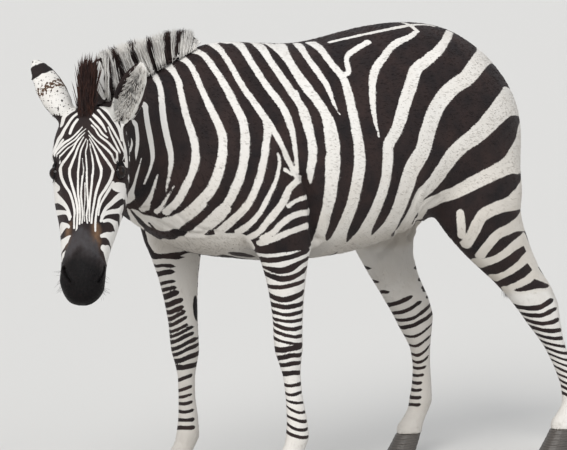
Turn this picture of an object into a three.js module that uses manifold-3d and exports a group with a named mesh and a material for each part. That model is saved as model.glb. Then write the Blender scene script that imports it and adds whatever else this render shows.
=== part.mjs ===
// A life-size plains zebra standing still, with its head lowered and turned to its left.
// Millimetres, +Z up. The animal faces -Y and its left side is +X; the hooves stand on z = 0.
// The flesh is a set of lofts that are joined into one body and parted again with thin cuts, so that every
// named part of the animal is a solid of its own. Eyes, hooves, mane and tail tuft are separate pieces.
import * as THREE from "three";
import { mergeVertices } from "three/addons/utils/BufferGeometryUtils.js";
import Module from "manifold-3d";

const wasm = await Module();
wasm.setup();

// Driving dimensions
const GAP = 0.4; // clearance between touching parts
const SHIFT = new THREE.Vector3(-45, -276, 0); // from the withers' frame, used below, to the part's frame
const BODY_SIDES = 22; // facets round the trunk, neck and head
const LEG_SIDES = 12; // facets round a leg
const EYE_RADIUS = 20;
const HOOF_SIDES = 14;

const v3 = (x, y, z) => new THREE.Vector3(x, y, z);
const ACROSS = v3(1, 0, 0);

// Trunk and neck, from the buttocks to the throat. Each section is a point on the back, a point on the
// belly line, the half width, the level of the widest place (share of the height), the fullness above and
// below it (2 is an ellipse) and the turn of the neck to the left in degrees.
const BODY_SECTIONS = [
  // back x, y, z        belly x, y, z       half  widest top  under turn
  [0, 1024, 1060, 0, 1024, 940, 50, 0.5, 2.0, 2.0, 0],
  [0, 1010, 1112, 0, 1012, 850, 112, 0.5, 2.0, 2.2, 0],
  [0, 972, 1163, 0, 978, 800, 172, 0.5, 2.0, 2.6, 0],
  [0, 905, 1231, 0, 912, 775, 220, 0.5, 2.0, 2.8, 0],
  [0, 800, 1290, 0, 815, 765, 247, 0.47, 2.1, 2.8, 0],
  [0, 670, 1314, 0, 705, 742, 258, 0.44, 2.1, 2.6, 0],
  [0, 500, 1300, 0, 560, 676, 268, 0.43, 2.0, 2.4, 0],
  [0, 340, 1272, 0, 390, 646, 272, 0.43, 1.95, 2.3, 0],
  [0, 200, 1276, 0, 215, 645, 254, 0.42, 1.85, 2.3, 0],
  [0, 90, 1288, 0, 80, 662, 226, 0.42, 1.75, 2.3, 0],
  [0, 0, 1284, 0, -60, 688, 203, 0.42, 1.7, 2.2, 0],
  [4, -70, 1258, 2, -165, 736, 178, 0.42, 1.75, 2.1, 2],
  [10, -140, 1232, 8, -258, 798, 142, 0.45, 1.8, 2.1, 9],
  [32, -214, 1208, 36, -330, 845, 112, 0.48, 1.85, 2.0, 19],
  [70, -292, 1186, 82, -392, 878, 95, 0.5, 1.9, 2.0, 30],
  [120, -376, 1164, 135, -444, 898, 84, 0.52, 2.0, 2.0, 39],
  [168, -452, 1140, 182, -488, 908, 76, 0.54, 2.0, 2.0, 45],
];

// Head, in its own frame: distance from the poll down the face, then the height of the face line and of the
// jaw line over that axis, the half width, the level of the widest place and the fullness above and below.
const HEAD_POLL = v3(197, -488.5, 1138);
const HEAD_TURN = 48.5; // degrees to the left of straight ahead
const HEAD_PITCH = 25; // degrees of the face line from upright, muzzle forward
const HEAD_ROLL = -0.6;
const HEAD_SECTIONS = [
  // along face  jaw  half widest top under
  [-14, -30, -72, 36, 0.5, 2.0, 2.0],
  [2, -6, -118, 70, 0.55, 2.0, 2.0],
  [38, 6, -165, 90, 0.6, 2.1, 2.0],
  [82, 12, -205, 102, 0.64, 2.2, 2.0],
  [128, 13, -232, 105, 0.67, 2.1, 1.85],
  [168, 10, -244, 103, 0.68, 2.1, 1.8],
  [206, 4, -244, 98, 0.66, 2.15, 1.85],
  [250, -1, -226, 91, 0.58, 2.3, 2.0],
  [297, -4, -194, 81, 0.52, 2.1, 2.2],
  [342, -6, -166, 73, 0.52, 2.1, 2.3],
  [388, -8, -138, 65, 0.52, 2.2, 2.2],
  [430, -9, -122, 61, 0.5, 2.4, 2.1],
  [468, -13, -112, 60, 0.5, 2.4, 2.1],
  [500, -24, -104, 52, 0.5, 2.3, 2.1],
  [523, -40, -94, 39, 0.5, 2.1, 2.1],
  [535, -54, -82, 20, 0.5, 2.0, 2.0],
];
const EYE_PLACE = { along: 173, out: 83.5, face: -46 };
const EYE_FACETS = [14, 10];

// An ear runs from a base to a tip on the head and opens one way. Its rows, from the base to the tip, hold
// the share of the length, the half width, the depth of the cup and the half of its wrap in degrees.
const EARS = {
  left: { base: [26, 80, -48], tip: [-125, 141, -8], opening: [0.85, -0.5, 0] },
  right: { base: [12, -67, -44], tip: [-147, -162, -20], opening: [-1, 0.1, 0.1] },
};
const EAR_ROWS = [
  [-0.1, 24, 24, 150], [0.05, 31, 30, 135], [0.2, 38, 33, 112], [0.38, 42, 31, 98], [0.56, 41, 27, 90],
  [0.72, 36, 21, 84], [0.86, 26, 14, 80], [0.95, 15, 8, 76], [1, 7, 5, 70],
];
const EAR_STEPS = 8;
const EAR_THICKNESS = 6;
const EAR_EDGE = 0.97; // the inner face's wrap as a share of the outer face's

// A leg is a path through eight places, from inside the trunk to the coronet, and a table of girths along
// it: place on the path, then the reach forward, rearward and sideways.
const FORE_PATHS = {
  left: [
    [112, 10, 1010], [152, 58, 880], [166, 130, 735], [152, 146, 570],
    [146, 145, 418], [145, 154, 290], [145, 160, 165], [145, 118, 82],
  ],
  right: [
    [-112, -30, 1005], [-152, -34, 870], [-164, -20, 725], [-149, -20, 565],
    [-138, -22, 408], [-134, -28, 285], [-132, -32, 165], [-132, -76, 82],
  ],
};
const HIND_PATHS = {
  left: [
    [100, 880, 1060], [145, 830, 890], [168, 822, 745], [160, 912, 600],
    [150, 1032, 436], [148, 1096, 300], [146, 1150, 170], [146, 1112, 82],
  ],
  right: [
    [-100, 870, 1060], [-145, 775, 890], [-166, 700, 745], [-154, 706, 600],
    [-142, 783, 415], [-138, 800, 300], [-136, 790, 168], [-136, 748, 82],
  ],
};
const FORE_GIRTHS = [
  [0, 110, 110, 58], [0.6, 124, 120, 70], [1.2, 122, 118, 76], [1.7, 112, 106, 72], [2, 104, 92, 65],
  [2.3, 86, 76, 57], [2.7, 68, 60, 48], [3.1, 56, 51, 42], [3.5, 48, 47, 38], [3.8, 47, 46, 38],
  [4.05, 44, 46, 37], [4.3, 34, 38, 32], [4.6, 26, 32, 25], [5.1, 25, 31, 24], [5.6, 30, 36, 28],
  [6, 34, 42, 32], [6.35, 31, 33, 29], [6.7, 34, 32, 33], [7, 42, 36, 40],
];
const HIND_GIRTHS = [
  [0, 120, 120, 70], [0.6, 145, 145, 86], [1.1, 162, 156, 94], [1.6, 170, 160, 91], [2, 158, 156, 82],
  [2.4, 120, 128, 70], [2.75, 98, 106, 60], [3.1, 79, 88, 52], [3.45, 66, 76, 47], [3.8, 60, 75, 45],
  [4.08, 56, 69, 44], [4.4, 45, 47, 39], [4.75, 33, 37, 31], [5.2, 28, 32, 27], [5.65, 31, 37, 30],
  [6, 36, 43, 34], [6.35, 32, 34, 30], [6.7, 35, 33, 34], [7, 43, 37, 41],
];
const LEG_CUTS = { fore: 700, hind: 740 }; // level of the cut between leg and trunk
const HOOF_CUT = 74; // level of the coronet
const HIND_NARROWER = 0.95; // a hind hoof's width over a fore hoof's
// A level ring: height, shift ahead, reach forward, rearward and sideways
const CORONET_ROW = [HOOF_CUT - 14, 3, 42, 36, 39];
const HOOF_ROWS = [
  [HOOF_CUT - GAP, 3, 42, 36, 39], [52, 14, 45, 38, 42], [26, 29, 49, 40, 46], [8, 40, 52, 41, 48],
  [0, 46, 50, 39, 47],
];

// Mane: place on the body table, height over the crest and half width at the root.
const MANE_ROWS = [
  [10.1, 12, 16], [10.6, 48, 23], [11, 66, 25], [12, 92, 27], [13, 108, 28],
  [14, 124, 28], [15, 134, 27], [15.6, 134, 25],
];
const FORELOCK_ROWS = [
  // along the head, height over the crest, half width
  [8, 130, 24], [30, 108, 22], [48, 64, 18], [58, 22, 12],
];
const FORELOCK_LEAN = { face: 0.35, down: -0.94 }; // the forelock's direction in the head's axes
const MANE_ROOT = 34; // how deep its solid reaches below the crest before the neck is cut away
const MANE_PROFILE = [[0.45, 0.85], [0.9, 0.5]]; // share of the height, share of the half width

// Tail: a dock with a tuft of long hair
const TAIL_PATH = [
  [0, 962, 1150], [0, 1000, 1122], [0, 1034, 1062], [0, 1052, 960], [0, 1056, 870], [0, 1057, 790],
];
const TAIL_RADII = [30, 29, 26, 22, 20, 18];
const TUFT_PATH = [
  [0, 1058, 789], [0, 1057, 730], [0, 1056, 650], [0, 1055, 570], [0, 1054, 500], [0, 1053, 455],
];
const TUFT_RADII = [19, 27, 34, 35, 27, 8];
const TAIL_SIDES = 12;

// Cuts between the head, the neck and the trunk: a point and the direction towards the head
const THROAT_CUT = { point: [178, -432, 1030], normal: [0.62, -0.72, -0.3] };
const WITHERS_CUT = { point: [0, -62, 1200], normal: [0, -0.972, 0.235] };

// Rows between the rows of a table, along a smooth curve through them.
function smoothRow(rows, at) {
  const last = rows.length - 1;
  const i = Math.min(Math.floor(at), last - 1);
  const t = at - i;
  const row = (k) => rows[Math.max(0, Math.min(last, k))];
  return rows[i].map((_, c) => {
    const [a, b, d, e] = [row(i - 1)[c], row(i)[c], row(i + 1)[c], row(i + 2)[c]];
    return b + 0.5 * t * (d - a + t * (2 * a - 5 * b + 4 * d - e + t * (3 * (b - d) + e - a)));
  });
}

const centreOf = (ring) => ring.reduce((sum, p) => sum.add(p), v3(0, 0, 0)).divideScalar(ring.length);

// A closed geometry over rings of equal point count, with a fan over each end, its ends moved out by grow.
function loft(rings, grow = 0) {
  const n = rings[0].length;
  const moveOut = (end, next) => {
    const outward = centreOf(end).sub(centreOf(next)).normalize();
    end.forEach((p) => p.addScaledVector(outward, grow));
  };
  moveOut(rings[0], rings[1]);
  moveOut(rings.at(-1), rings.at(-2));
  const points = rings.flat();
  const first = points.push(centreOf(rings[0])) - 1;
  const last = points.push(centreOf(rings.at(-1))) - 1;
  const index = [];
  for (let i = 0; i < n; i++) {
    const j = (i + 1) % n;
    index.push(first, j, i, last, (rings.length - 1) * n + i, (rings.length - 1) * n + j);
    for (let r = 0; r + 1 < rings.length; r++) {
      const [a, b] = [r * n, (r + 1) * n];
      index.push(a + i, a + j, b + j, a + i, b + j, b + i);
    }
  }
  return new THREE.BufferGeometry().setFromPoints(points).setIndex(index);
}

// A closed geometry as a manifold-3d solid, turned to face out.
function solid(geometry) {
  const bare = geometry.clone();
  bare.deleteAttribute("normal");
  bare.deleteAttribute("uv");
  const merged = mergeVertices(bare, 1e-3);
  const triVerts = new Uint32Array(merged.index.array);
  const make = () => new wasm.Manifold(
    new wasm.Mesh({ numProp: 3, vertProperties: merged.attributes.position.array, triVerts }),
  );
  const made = make();
  if (made.volume() > 0) return made;
  for (let i = 0; i < triVerts.length; i += 3) {
    [triVerts[i + 1], triVerts[i + 2]] = [triVerts[i + 2], triVerts[i + 1]];
  }
  return make();
}

// A ring of an animal's body: back and belly points, a side direction and the section's fullness.
function sectionRing(back, belly, side, half, widest, top, under) {
  const centre = belly.clone().lerp(back, widest);
  return Array.from({ length: BODY_SIDES }, (_, i) => {
    const angle = (2 * Math.PI * i) / BODY_SIDES;
    const [s, c] = [Math.sin(angle), Math.cos(angle)];
    const power = 2 / (c >= 0 ? top : under);
    const reach = (c >= 0 ? back : belly).clone().sub(centre);
    return centre.clone()
      .addScaledVector(reach, Math.abs(c) ** power)
      .addScaledVector(side, half * Math.sign(s) * Math.abs(s) ** power);
  });
}

const radians = THREE.MathUtils.degToRad;
const sideOf = (turn) => v3(Math.cos(radians(turn)), Math.sin(radians(turn)), 0);

function bodyPlace(at) {
  const [bx, by, bz, ux, uy, uz, half, widest, top, under, turn] = smoothRow(BODY_SECTIONS, at);
  return { back: v3(bx, by, bz), belly: v3(ux, uy, uz), half, widest, top, under, side: sideOf(turn) };
}

function bodyLoft(grow) {
  const steps = (BODY_SECTIONS.length - 1) * 2;
  return solid(loft(Array.from({ length: steps + 1 }, (_, i) => {
    const { back, belly, side, half, widest, top, under } = bodyPlace(i / 2);
    const up = back.clone().sub(belly).normalize().multiplyScalar(grow);
    return sectionRing(back.add(up), belly.sub(up), side, half + grow, widest, top, under);
  }), grow));
}

// The head's axes: down the face, out of the forehead, and to its left.
const headFrame = (() => {
  const left = sideOf(HEAD_TURN);
  const ahead = v3(left.y, -left.x, 0);
  const down = ahead.multiplyScalar(Math.sin(radians(HEAD_PITCH))).setZ(-Math.cos(radians(HEAD_PITCH)));
  const face = left.clone().cross(down).negate();
  down.applyAxisAngle(face, radians(HEAD_ROLL));
  left.applyAxisAngle(face, radians(HEAD_ROLL));
  return { down, face, left };
})();

function headPoint(along, left, face) {
  return HEAD_POLL.clone()
    .addScaledVector(headFrame.down, along)
    .addScaledVector(headFrame.left, left)
    .addScaledVector(headFrame.face, face);
}

function headLoft(grow) {
  const steps = (HEAD_SECTIONS.length - 1) * 2;
  return solid(loft(Array.from({ length: steps + 1 }, (_, i) => {
    const [along, face, jaw, half, widest, top, under] = smoothRow(HEAD_SECTIONS, i / 2);
    return sectionRing(
      headPoint(along, 0, face + grow), headPoint(along, 0, jaw - grow),
      headFrame.left, half + grow, widest, top, under,
    );
  }), grow));
}

function tubeRing(curve, at, side, front, rear, lateral, sides) {
  const centre = curve.getPoint(at);
  const ahead = side.clone().cross(curve.getTangent(at)).normalize();
  if (ahead.y > 0) ahead.negate();
  return Array.from({ length: sides }, (_, i) => {
    const angle = (2 * Math.PI * i) / sides;
    const reach = Math.cos(angle);
    return centre.clone()
      .addScaledVector(ahead, reach * (reach > 0 ? front : rear))
      .addScaledVector(side, lateral * Math.sin(angle));
  });
}

// A level ring about a leg's lower end.
function levelRing(path, hind, [z, ahead, front, rear, side], sides) {
  const top = v3(...path.at(-1));
  const narrow = hind ? HIND_NARROWER : 1;
  return Array.from({ length: sides }, (_, i) => {
    const angle = (2 * Math.PI * i) / sides;
    const reach = Math.cos(angle);
    const y = top.y - ahead - reach * (reach > 0 ? front : rear);
    return v3(top.x + side * narrow * Math.sin(angle), y, z);
  });
}

function legLoft(path, girths, hind, grow) {
  const curve = new THREE.CatmullRomCurve3(path.map((p) => v3(...p)), false, "catmullrom", 0.5);
  const rings = girths.map(([at, front, rear, lateral]) => {
    const share = Math.min(1, at / (path.length - 1));
    return tubeRing(curve, share, ACROSS, front + grow, rear + grow, lateral + grow, LEG_SIDES);
  });
  return solid(loft([...rings, levelRing(path, hind, CORONET_ROW, LEG_SIDES)], grow));
}

function tailLoft(path, radii) {
  const curve = new THREE.CatmullRomCurve3(path.map((p) => v3(...p)));
  const last = radii.length - 1;
  return solid(loft(Array.from({ length: 2 * last + 1 }, (_, i) => {
    const [radius] = smoothRow(radii.map((r) => [r]), i / 2);
    return tubeRing(curve, i / 2 / last, ACROSS, radius, radius, radius, TAIL_SIDES);
  })));
}

// A block between two corners.
function block(low, high) {
  const size = high.clone().sub(low);
  const middle = high.clone().add(low).multiplyScalar(0.5);
  return solid(new THREE.BoxGeometry(size.x, size.y, size.z).translate(middle.x, middle.y, middle.z));
}

const BIG = 2000;
const below = (level) => block(v3(-BIG, -BIG, -BIG), v3(BIG, BIG, level));

// The half-space beyond a plane, as a large block turned to face along the plane's normal.
function beyond(point, normal) {
  const turn = new THREE.Quaternion().setFromUnitVectors(v3(0, 0, 1), normal.clone().normalize());
  return solid(new THREE.BoxGeometry(BIG, BIG, BIG).translate(0, 0, BIG / 2).applyQuaternion(turn)
    .translate(point.x, point.y, point.z));
}

// A hoof flares from the coronet to a flat sole.
const hoofSolid = (path, hind) => solid(loft(HOOF_ROWS.map((row) => levelRing(path, hind, row, HOOF_SIDES))));

// An ear is a leaf rolled into a cup: each ring is a crescent of even thickness.
function earSolid({ base, tip, opening }) {
  const root = headPoint(...base);
  const length = headPoint(...tip).distanceTo(root);
  const axis = headPoint(...tip).sub(root).normalize();
  const way = v3(...opening);
  const out = way.addScaledVector(axis, -way.dot(axis)).normalize();
  const across = axis.clone().cross(out).normalize();
  const ring = ([share, half, depth, wrap]) => {
    const widest = Math.sin(radians(Math.min(wrap, 90)));
    const point = (angle, inset) => root.clone()
      .addScaledVector(axis, share * length)
      .addScaledVector(across, ((half - inset) * Math.sin(angle)) / widest)
      .addScaledVector(out, (inset - depth) * Math.cos(angle));
    const places = Array.from({ length: EAR_STEPS + 1 }, (_, i) => (2 * i) / EAR_STEPS - 1);
    const angles = places.map((place) => radians(wrap) * place);
    const inset = Math.min(EAR_THICKNESS, depth * 0.6);
    return [
      ...angles.map((a) => point(a, 0)),
      ...angles.reverse().map((a) => point(a * EAR_EDGE, inset)),
    ];
  };
  return solid(loft(EAR_ROWS.map(ring)));
}

function maneSolid() {
  const crest = (at) => {
    const { back, belly, side } = bodyPlace(at);
    return { root: back, up: back.clone().sub(belly).normalize(), side };
  };
  const onHead = (along) => {
    const up = headFrame.face.clone().multiplyScalar(FORELOCK_LEAN.face)
      .addScaledVector(headFrame.down, FORELOCK_LEAN.down);
    return { root: headPoint(along, 0, -4), up, side: headFrame.left };
  };
  const onNeck = Array.from({ length: 2 * MANE_ROWS.length - 1 }, (_, i) => {
    const [at, height, half] = smoothRow(MANE_ROWS, i / 2);
    return { ...crest(at), height, half };
  });
  const rows = [
    ...onNeck,
    ...FORELOCK_ROWS.map(([along, height, half]) => ({ ...onHead(along), height, half })),
  ];
  return solid(loft(rows.map(({ root, up, side, height, half }) => {
    const corner = (out, over) => root.clone().addScaledVector(side, out).addScaledVector(up, over);
    const flank = MANE_PROFILE.map(([rise, width]) => [half * width, height * rise]);
    return [
      corner(half, -MANE_ROOT),
      ...flank.map(([out, over]) => corner(out, over)),
      corner(0, height),
      ...flank.reverse().map(([out, over]) => corner(-out, over)),
      corner(-half, -MANE_ROOT),
    ];
  })));
}

const ball = (centre, radius) =>
  solid(new THREE.SphereGeometry(radius, ...EYE_FACETS).translate(centre.x, centre.y, centre.z));

const biggest = (shape) => shape.decompose().sort((a, b) => b.volume() - a.volume())[0];
const joined = (shapes) => shapes.reduce((a, b) => a.add(b));
const cut = (shape, ...tools) => tools.reduce((a, b) => a.subtract(b), shape);

const group = new THREE.Group();
const COLOURS = { coat: 0xd8d2c8, hoof: 0x2a2624, eye: 0x0d0a09, mane: 0x4a3932, tuft: 0x1c1716 };
const ROUGHNESS = { coat: 0.8, hoof: 0.6, eye: 0.1, mane: 0.8, tuft: 0.8 };

function addPart(name, shape, finish) {
  const mesh = shape.getMesh();
  const points = new Float32Array(mesh.numVert * 3);
  for (let i = 0; i < mesh.numVert; i++) {
    points.set(mesh.vertProperties.subarray(i * mesh.numProp, i * mesh.numProp + 3), i * 3);
  }
  const geometry = new THREE.BufferGeometry()
    .setAttribute("position", new THREE.BufferAttribute(points, 3))
    .setIndex(new THREE.BufferAttribute(mesh.triVerts, 1));
  geometry.computeVertexNormals();
  const look = { color: COLOURS[finish], roughness: ROUGHNESS[finish] };
  const part = new THREE.Mesh(geometry, new THREE.MeshStandardMaterial(look));
  part.name = name;
  part.position.copy(SHIFT);
  group.add(part);
}

// Flesh as one body, then its parts
const legs = Object.entries({ fore: FORE_PATHS, hind: HIND_PATHS }).flatMap(([pair, sides]) =>
  Object.entries(sides).map(([side, path]) => {
    const hind = pair === "hind";
    const shape = (grow) => legLoft(path, hind ? HIND_GIRTHS : FORE_GIRTHS, hind, grow);
    return { pair, side, path, hind, shape, level: LEG_CUTS[pair] };
  }));
const flesh = (grow) => joined([bodyLoft(grow), headLoft(grow), ...legs.map((leg) => leg.shape(grow))]);
const whole = flesh(0);
const around = flesh(GAP);

const eyes = [1, -1].map((side) => headPoint(EYE_PLACE.along, side * EYE_PLACE.out, EYE_PLACE.face));
const sockets = joined(eyes.map((eye) => ball(eye, EYE_RADIUS + GAP)));

const shifted = (plane, distance) => {
  const normal = v3(...plane.normal).normalize();
  return beyond(v3(...plane.point).addScaledVector(normal, distance), normal);
};

const lowLegs = legs.map((leg) => leg.shape(GAP).intersect(below(leg.level + GAP)));
const upper = biggest(cut(whole, ...lowLegs));
const head = biggest(cut(upper.intersect(shifted(THROAT_CUT, GAP / 2)), sockets));
const neckAndTrunk = biggest(cut(upper, shifted(THROAT_CUT, -GAP / 2)));
addPart("head", head, "coat");
addPart("neck", biggest(neckAndTrunk.intersect(shifted(WITHERS_CUT, GAP / 2))), "coat");
addPart("trunk", biggest(cut(neckAndTrunk, shifted(WITHERS_CUT, -GAP / 2))), "coat");

for (const { pair, side, path, hind, shape, level } of legs) {
  const leg = shape(0).intersect(below(level));
  const knee = path[4][2];
  const upperEnd = block(v3(-BIG, -BIG, knee + GAP), v3(BIG, BIG, BIG));
  const lowerEnd = block(v3(-BIG, -BIG, HOOF_CUT), v3(BIG, BIG, knee));
  addPart(`${pair}_leg_${side}_upper`, biggest(leg.intersect(upperEnd)), "coat");
  addPart(`${pair}_leg_${side}_lower`, biggest(leg.intersect(lowerEnd)), "coat");
  addPart(`${pair}_hoof_${side}`, hoofSolid(path, hind), "hoof");
}

["left", "right"].forEach((side, i) => addPart(`eye_${side}`, ball(eyes[i], EYE_RADIUS), "eye"));

for (const [side, ear] of Object.entries(EARS)) {
  addPart(`ear_${side}`, biggest(cut(earSolid(ear), around)), "coat");
}

addPart("mane", biggest(cut(maneSolid(), around)), "mane");
addPart("tail", biggest(cut(tailLoft(TAIL_PATH, TAIL_RADII), around)), "coat");
addPart("tail_tuft", tailLoft(TUFT_PATH, TUFT_RADII), "tuft");

export default group;
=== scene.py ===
"""A life-size plains zebra standing still, its head lowered and turned towards the viewer.

One seamless skin stands for the solids of flesh, with eyes, hooves, mane and hair as pieces of their own.
Metres, +Z up; the animal faces -Y, its left side is +X and its hooves stand on z = 0.
The markings are strokes laid over the skin; skin and coat take the same signed distance to their edges.
"""

import math

import bpy
import numpy as np
from mathutils import Matrix, Vector
from mathutils.bvhtree import BVHTree


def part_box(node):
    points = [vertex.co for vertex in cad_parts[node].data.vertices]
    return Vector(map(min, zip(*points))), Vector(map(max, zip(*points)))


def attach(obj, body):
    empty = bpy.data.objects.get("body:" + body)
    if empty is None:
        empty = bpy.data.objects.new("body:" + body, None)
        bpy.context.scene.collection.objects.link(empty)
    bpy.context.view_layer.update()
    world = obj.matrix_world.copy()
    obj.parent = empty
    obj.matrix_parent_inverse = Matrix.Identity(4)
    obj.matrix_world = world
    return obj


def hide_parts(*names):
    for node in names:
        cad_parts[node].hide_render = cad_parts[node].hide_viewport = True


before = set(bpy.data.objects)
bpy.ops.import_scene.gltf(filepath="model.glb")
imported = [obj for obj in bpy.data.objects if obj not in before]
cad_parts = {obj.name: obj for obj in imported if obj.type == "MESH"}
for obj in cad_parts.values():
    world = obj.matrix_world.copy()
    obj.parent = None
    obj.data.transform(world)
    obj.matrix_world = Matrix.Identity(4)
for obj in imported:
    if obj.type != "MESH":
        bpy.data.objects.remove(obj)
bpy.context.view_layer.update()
rng = np.random.default_rng(11)

# ---------------- the camera
PHOTO_SIZE = (567, 450)  # the photograph's pixels; strokes below are laid out in enlarged parts of it
SENSOR = 36.0
FOCAL_PX = 2975.0
CAMERA_AT = np.array([7.034, -4.632, 1.487])
CAMERA_AZIMUTH, CAMERA_RISE, CAMERA_ROLL = (math.radians(a) for a in (57.0, 5.0, -2.5))


def unit(v):
    v = np.asarray(v, float)
    return v / np.maximum(np.linalg.norm(v, axis=-1, keepdims=True), 1e-12)


def camera_axes():
    """The camera's right, up and ahead."""
    a, e, r = CAMERA_AZIMUTH, CAMERA_RISE, CAMERA_ROLL
    ahead = -np.array([math.sin(a) * math.cos(e), -math.cos(a) * math.cos(e), math.sin(e)])
    right = unit(np.cross(ahead, [0, 0, 1]))
    up = np.cross(right, ahead)
    return right * math.cos(r) + up * math.sin(r), up * math.cos(r) - right * math.sin(r), ahead


CAM_RIGHT, CAM_UP, CAM_AHEAD = camera_axes()


def ray_of(px, py):
    """The way from the camera through a pixel of the photograph."""
    x, y = (px - PHOTO_SIZE[0] / 2) / FOCAL_PX, (PHOTO_SIZE[1] / 2 - py) / FOCAL_PX
    return unit(CAM_AHEAD + CAM_RIGHT * x + CAM_UP * y)


def pixel_of(points):
    """Where points lie in the photograph."""
    q = np.asarray(points) - CAMERA_AT
    depth = q @ CAM_AHEAD
    x = PHOTO_SIZE[0] / 2 + FOCAL_PX * (q @ CAM_RIGHT) / depth
    return x, PHOTO_SIZE[1] / 2 - FOCAL_PX * (q @ CAM_UP) / depth


# ---------------- the animal's own frames
MID_X = -0.045  # the trunk's plane of symmetry
DESIGN_SHIFT = np.array([-0.045, -0.276, 0.0])  # from the withers' frame to this one

POLL = np.array([0.152, -0.7645, 1.138])
HEAD_TURN, HEAD_PITCH, HEAD_ROLL = (math.radians(a) for a in (48.5, 25.0, -0.6))


def head_axes():
    """The ways down the face, to the head's left and out of the face."""
    left = np.array([math.cos(HEAD_TURN), math.sin(HEAD_TURN), 0])
    ahead = np.array([math.sin(HEAD_TURN), -math.cos(HEAD_TURN), 0])
    down = ahead * math.sin(HEAD_PITCH) + np.array([0, 0, -math.cos(HEAD_PITCH)])
    face = -np.cross(left, down)

    def rolled(v):
        return v * math.cos(HEAD_ROLL) + np.cross(face, v) * math.sin(HEAD_ROLL)

    return rolled(down), rolled(left), face


HEAD_ALONG, HEAD_LEFT, HEAD_FACE = head_axes()


def head_coords(points):
    """(along the face from the poll, to its left, out of the face)"""
    q = np.asarray(points) - POLL
    return q @ HEAD_ALONG, q @ HEAD_LEFT, q @ HEAD_FACE


def head_point(along, left, face):
    return POLL + HEAD_ALONG * along + HEAD_LEFT * left + HEAD_FACE * face


# Leg paths from inside the trunk to the coronet, in the withers' frame
LEG_PATHS = {
    "fore_left": [(.112, .010, 1.010), (.152, .058, .880), (.166, .130, .735), (.152, .146, .570),
                  (.146, .145, .418), (.145, .154, .290), (.145, .160, .165), (.145, .118, .082)],
    "fore_right": [(-.112, -.030, 1.005), (-.152, -.034, .870), (-.164, -.020, .725), (-.149, -.020, .565),
                   (-.138, -.022, .408), (-.134, -.028, .285), (-.132, -.032, .165), (-.132, -.076, .082)],
    "hind_left": [(.100, .880, 1.060), (.145, .830, .890), (.168, .822, .745), (.160, .912, .600),
                  (.150, 1.032, .436), (.148, 1.096, .300), (.146, 1.150, .170), (.146, 1.112, .082)],
    "hind_right": [(-.100, .870, 1.060), (-.145, .775, .890), (-.166, .700, .745), (-.154, .706, .600),
                   (-.142, .783, .415), (-.138, .800, .300), (-.136, .790, .168), (-.136, .748, .082)],
}
LEGS = list(LEG_PATHS)
LEG_TABLES = {k: (np.array(v) + DESIGN_SHIFT)[::-1] for k, v in LEG_PATHS.items()}


def leg_axis(leg, z):
    """The leg's centre at a height, extended straight down below the coronet."""
    t = LEG_TABLES[leg]
    return np.stack([np.interp(z, t[:, 2], t[:, 0]), np.interp(z, t[:, 2], t[:, 1])], -1)


def smooth01(x, low, high):
    """A soft step from 0 at low to 1 at high."""
    t = np.clip((np.asarray(x, float) - low) / (high - low), 0, 1)
    return t * t * (3 - 2 * t)


# ---------------- meshes as arrays
def link(name, mesh):
    obj = bpy.data.objects.new(name, mesh)
    bpy.context.scene.collection.objects.link(obj)
    return obj


def mesh_from(name, verts, faces, soft=True):
    """A mesh whose faces all have as many corners as the array has columns."""
    faces = np.asarray(faces, np.int32)
    mesh = bpy.data.meshes.new(name)
    mesh.vertices.add(len(verts))
    mesh.vertices.foreach_set("co", np.asarray(verts, np.float32).ravel())
    mesh.loops.add(faces.size)
    mesh.loops.foreach_set("vertex_index", faces.ravel())
    mesh.polygons.add(len(faces))
    mesh.polygons.foreach_set("loop_start", np.arange(0, faces.size, faces.shape[1], dtype=np.int32))
    mesh.update(calc_edges=True)
    if soft:
        mesh.shade_smooth()
    return mesh


def arrays_of(mesh):
    """A mesh's corners and triangles."""
    verts = np.zeros(len(mesh.vertices) * 3, np.float32)
    mesh.vertices.foreach_get("co", verts)
    mesh.calc_loop_triangles()
    tris = np.zeros(len(mesh.loop_triangles) * 3, np.int32)
    mesh.loop_triangles.foreach_get("vertices", tris)
    return verts.reshape(-1, 3).astype(float), tris.reshape(-1, 3).astype(int)


def normals_of(verts, tris):
    a, b, c = (verts[tris[:, k]] for k in range(3))
    n = np.cross(b - a, c - a)
    out = np.empty_like(verts)
    for axis in range(3):
        out[:, axis] = sum(np.bincount(tris[:, k], n[:, axis], len(verts)) for k in range(3))
    return unit(out)


def edges_of(tris):
    """The edges as pairs of corners, and each triangle's three edges."""
    pairs = np.sort(tris[:, [0, 1, 1, 2, 2, 0]].reshape(-1, 2), axis=1)
    key = pairs[:, 0] * (tris.max() + 1) + pairs[:, 1]
    _, first, where = np.unique(key, return_index=True, return_inverse=True)
    return pairs[first], where.reshape(-1, 3)


def relax(verts, edges, weight, passes, share=0.5):
    """Moves each vertex towards the mean of its neighbours, by its own weight."""
    a, b = edges[:, 0], edges[:, 1]
    count = np.maximum(np.bincount(a, minlength=len(verts)) + np.bincount(b, minlength=len(verts)), 1)
    step = (share * weight)[:, None] if np.ndim(weight) else share * weight
    verts = verts.copy()
    for _ in range(passes):
        mean = np.empty_like(verts)
        for axis in range(3):
            column = verts[:, axis]
            total = np.bincount(a, column[b], len(verts)) + np.bincount(b, column[a], len(verts))
            mean[:, axis] = total / count
        verts += (mean - verts) * step
    return verts


def used_only(verts, faces):
    """The corners that faces use, and the faces renumbered."""
    keep, inverse = np.unique(faces, return_inverse=True)
    return verts[keep], inverse.reshape(faces.shape)


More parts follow.
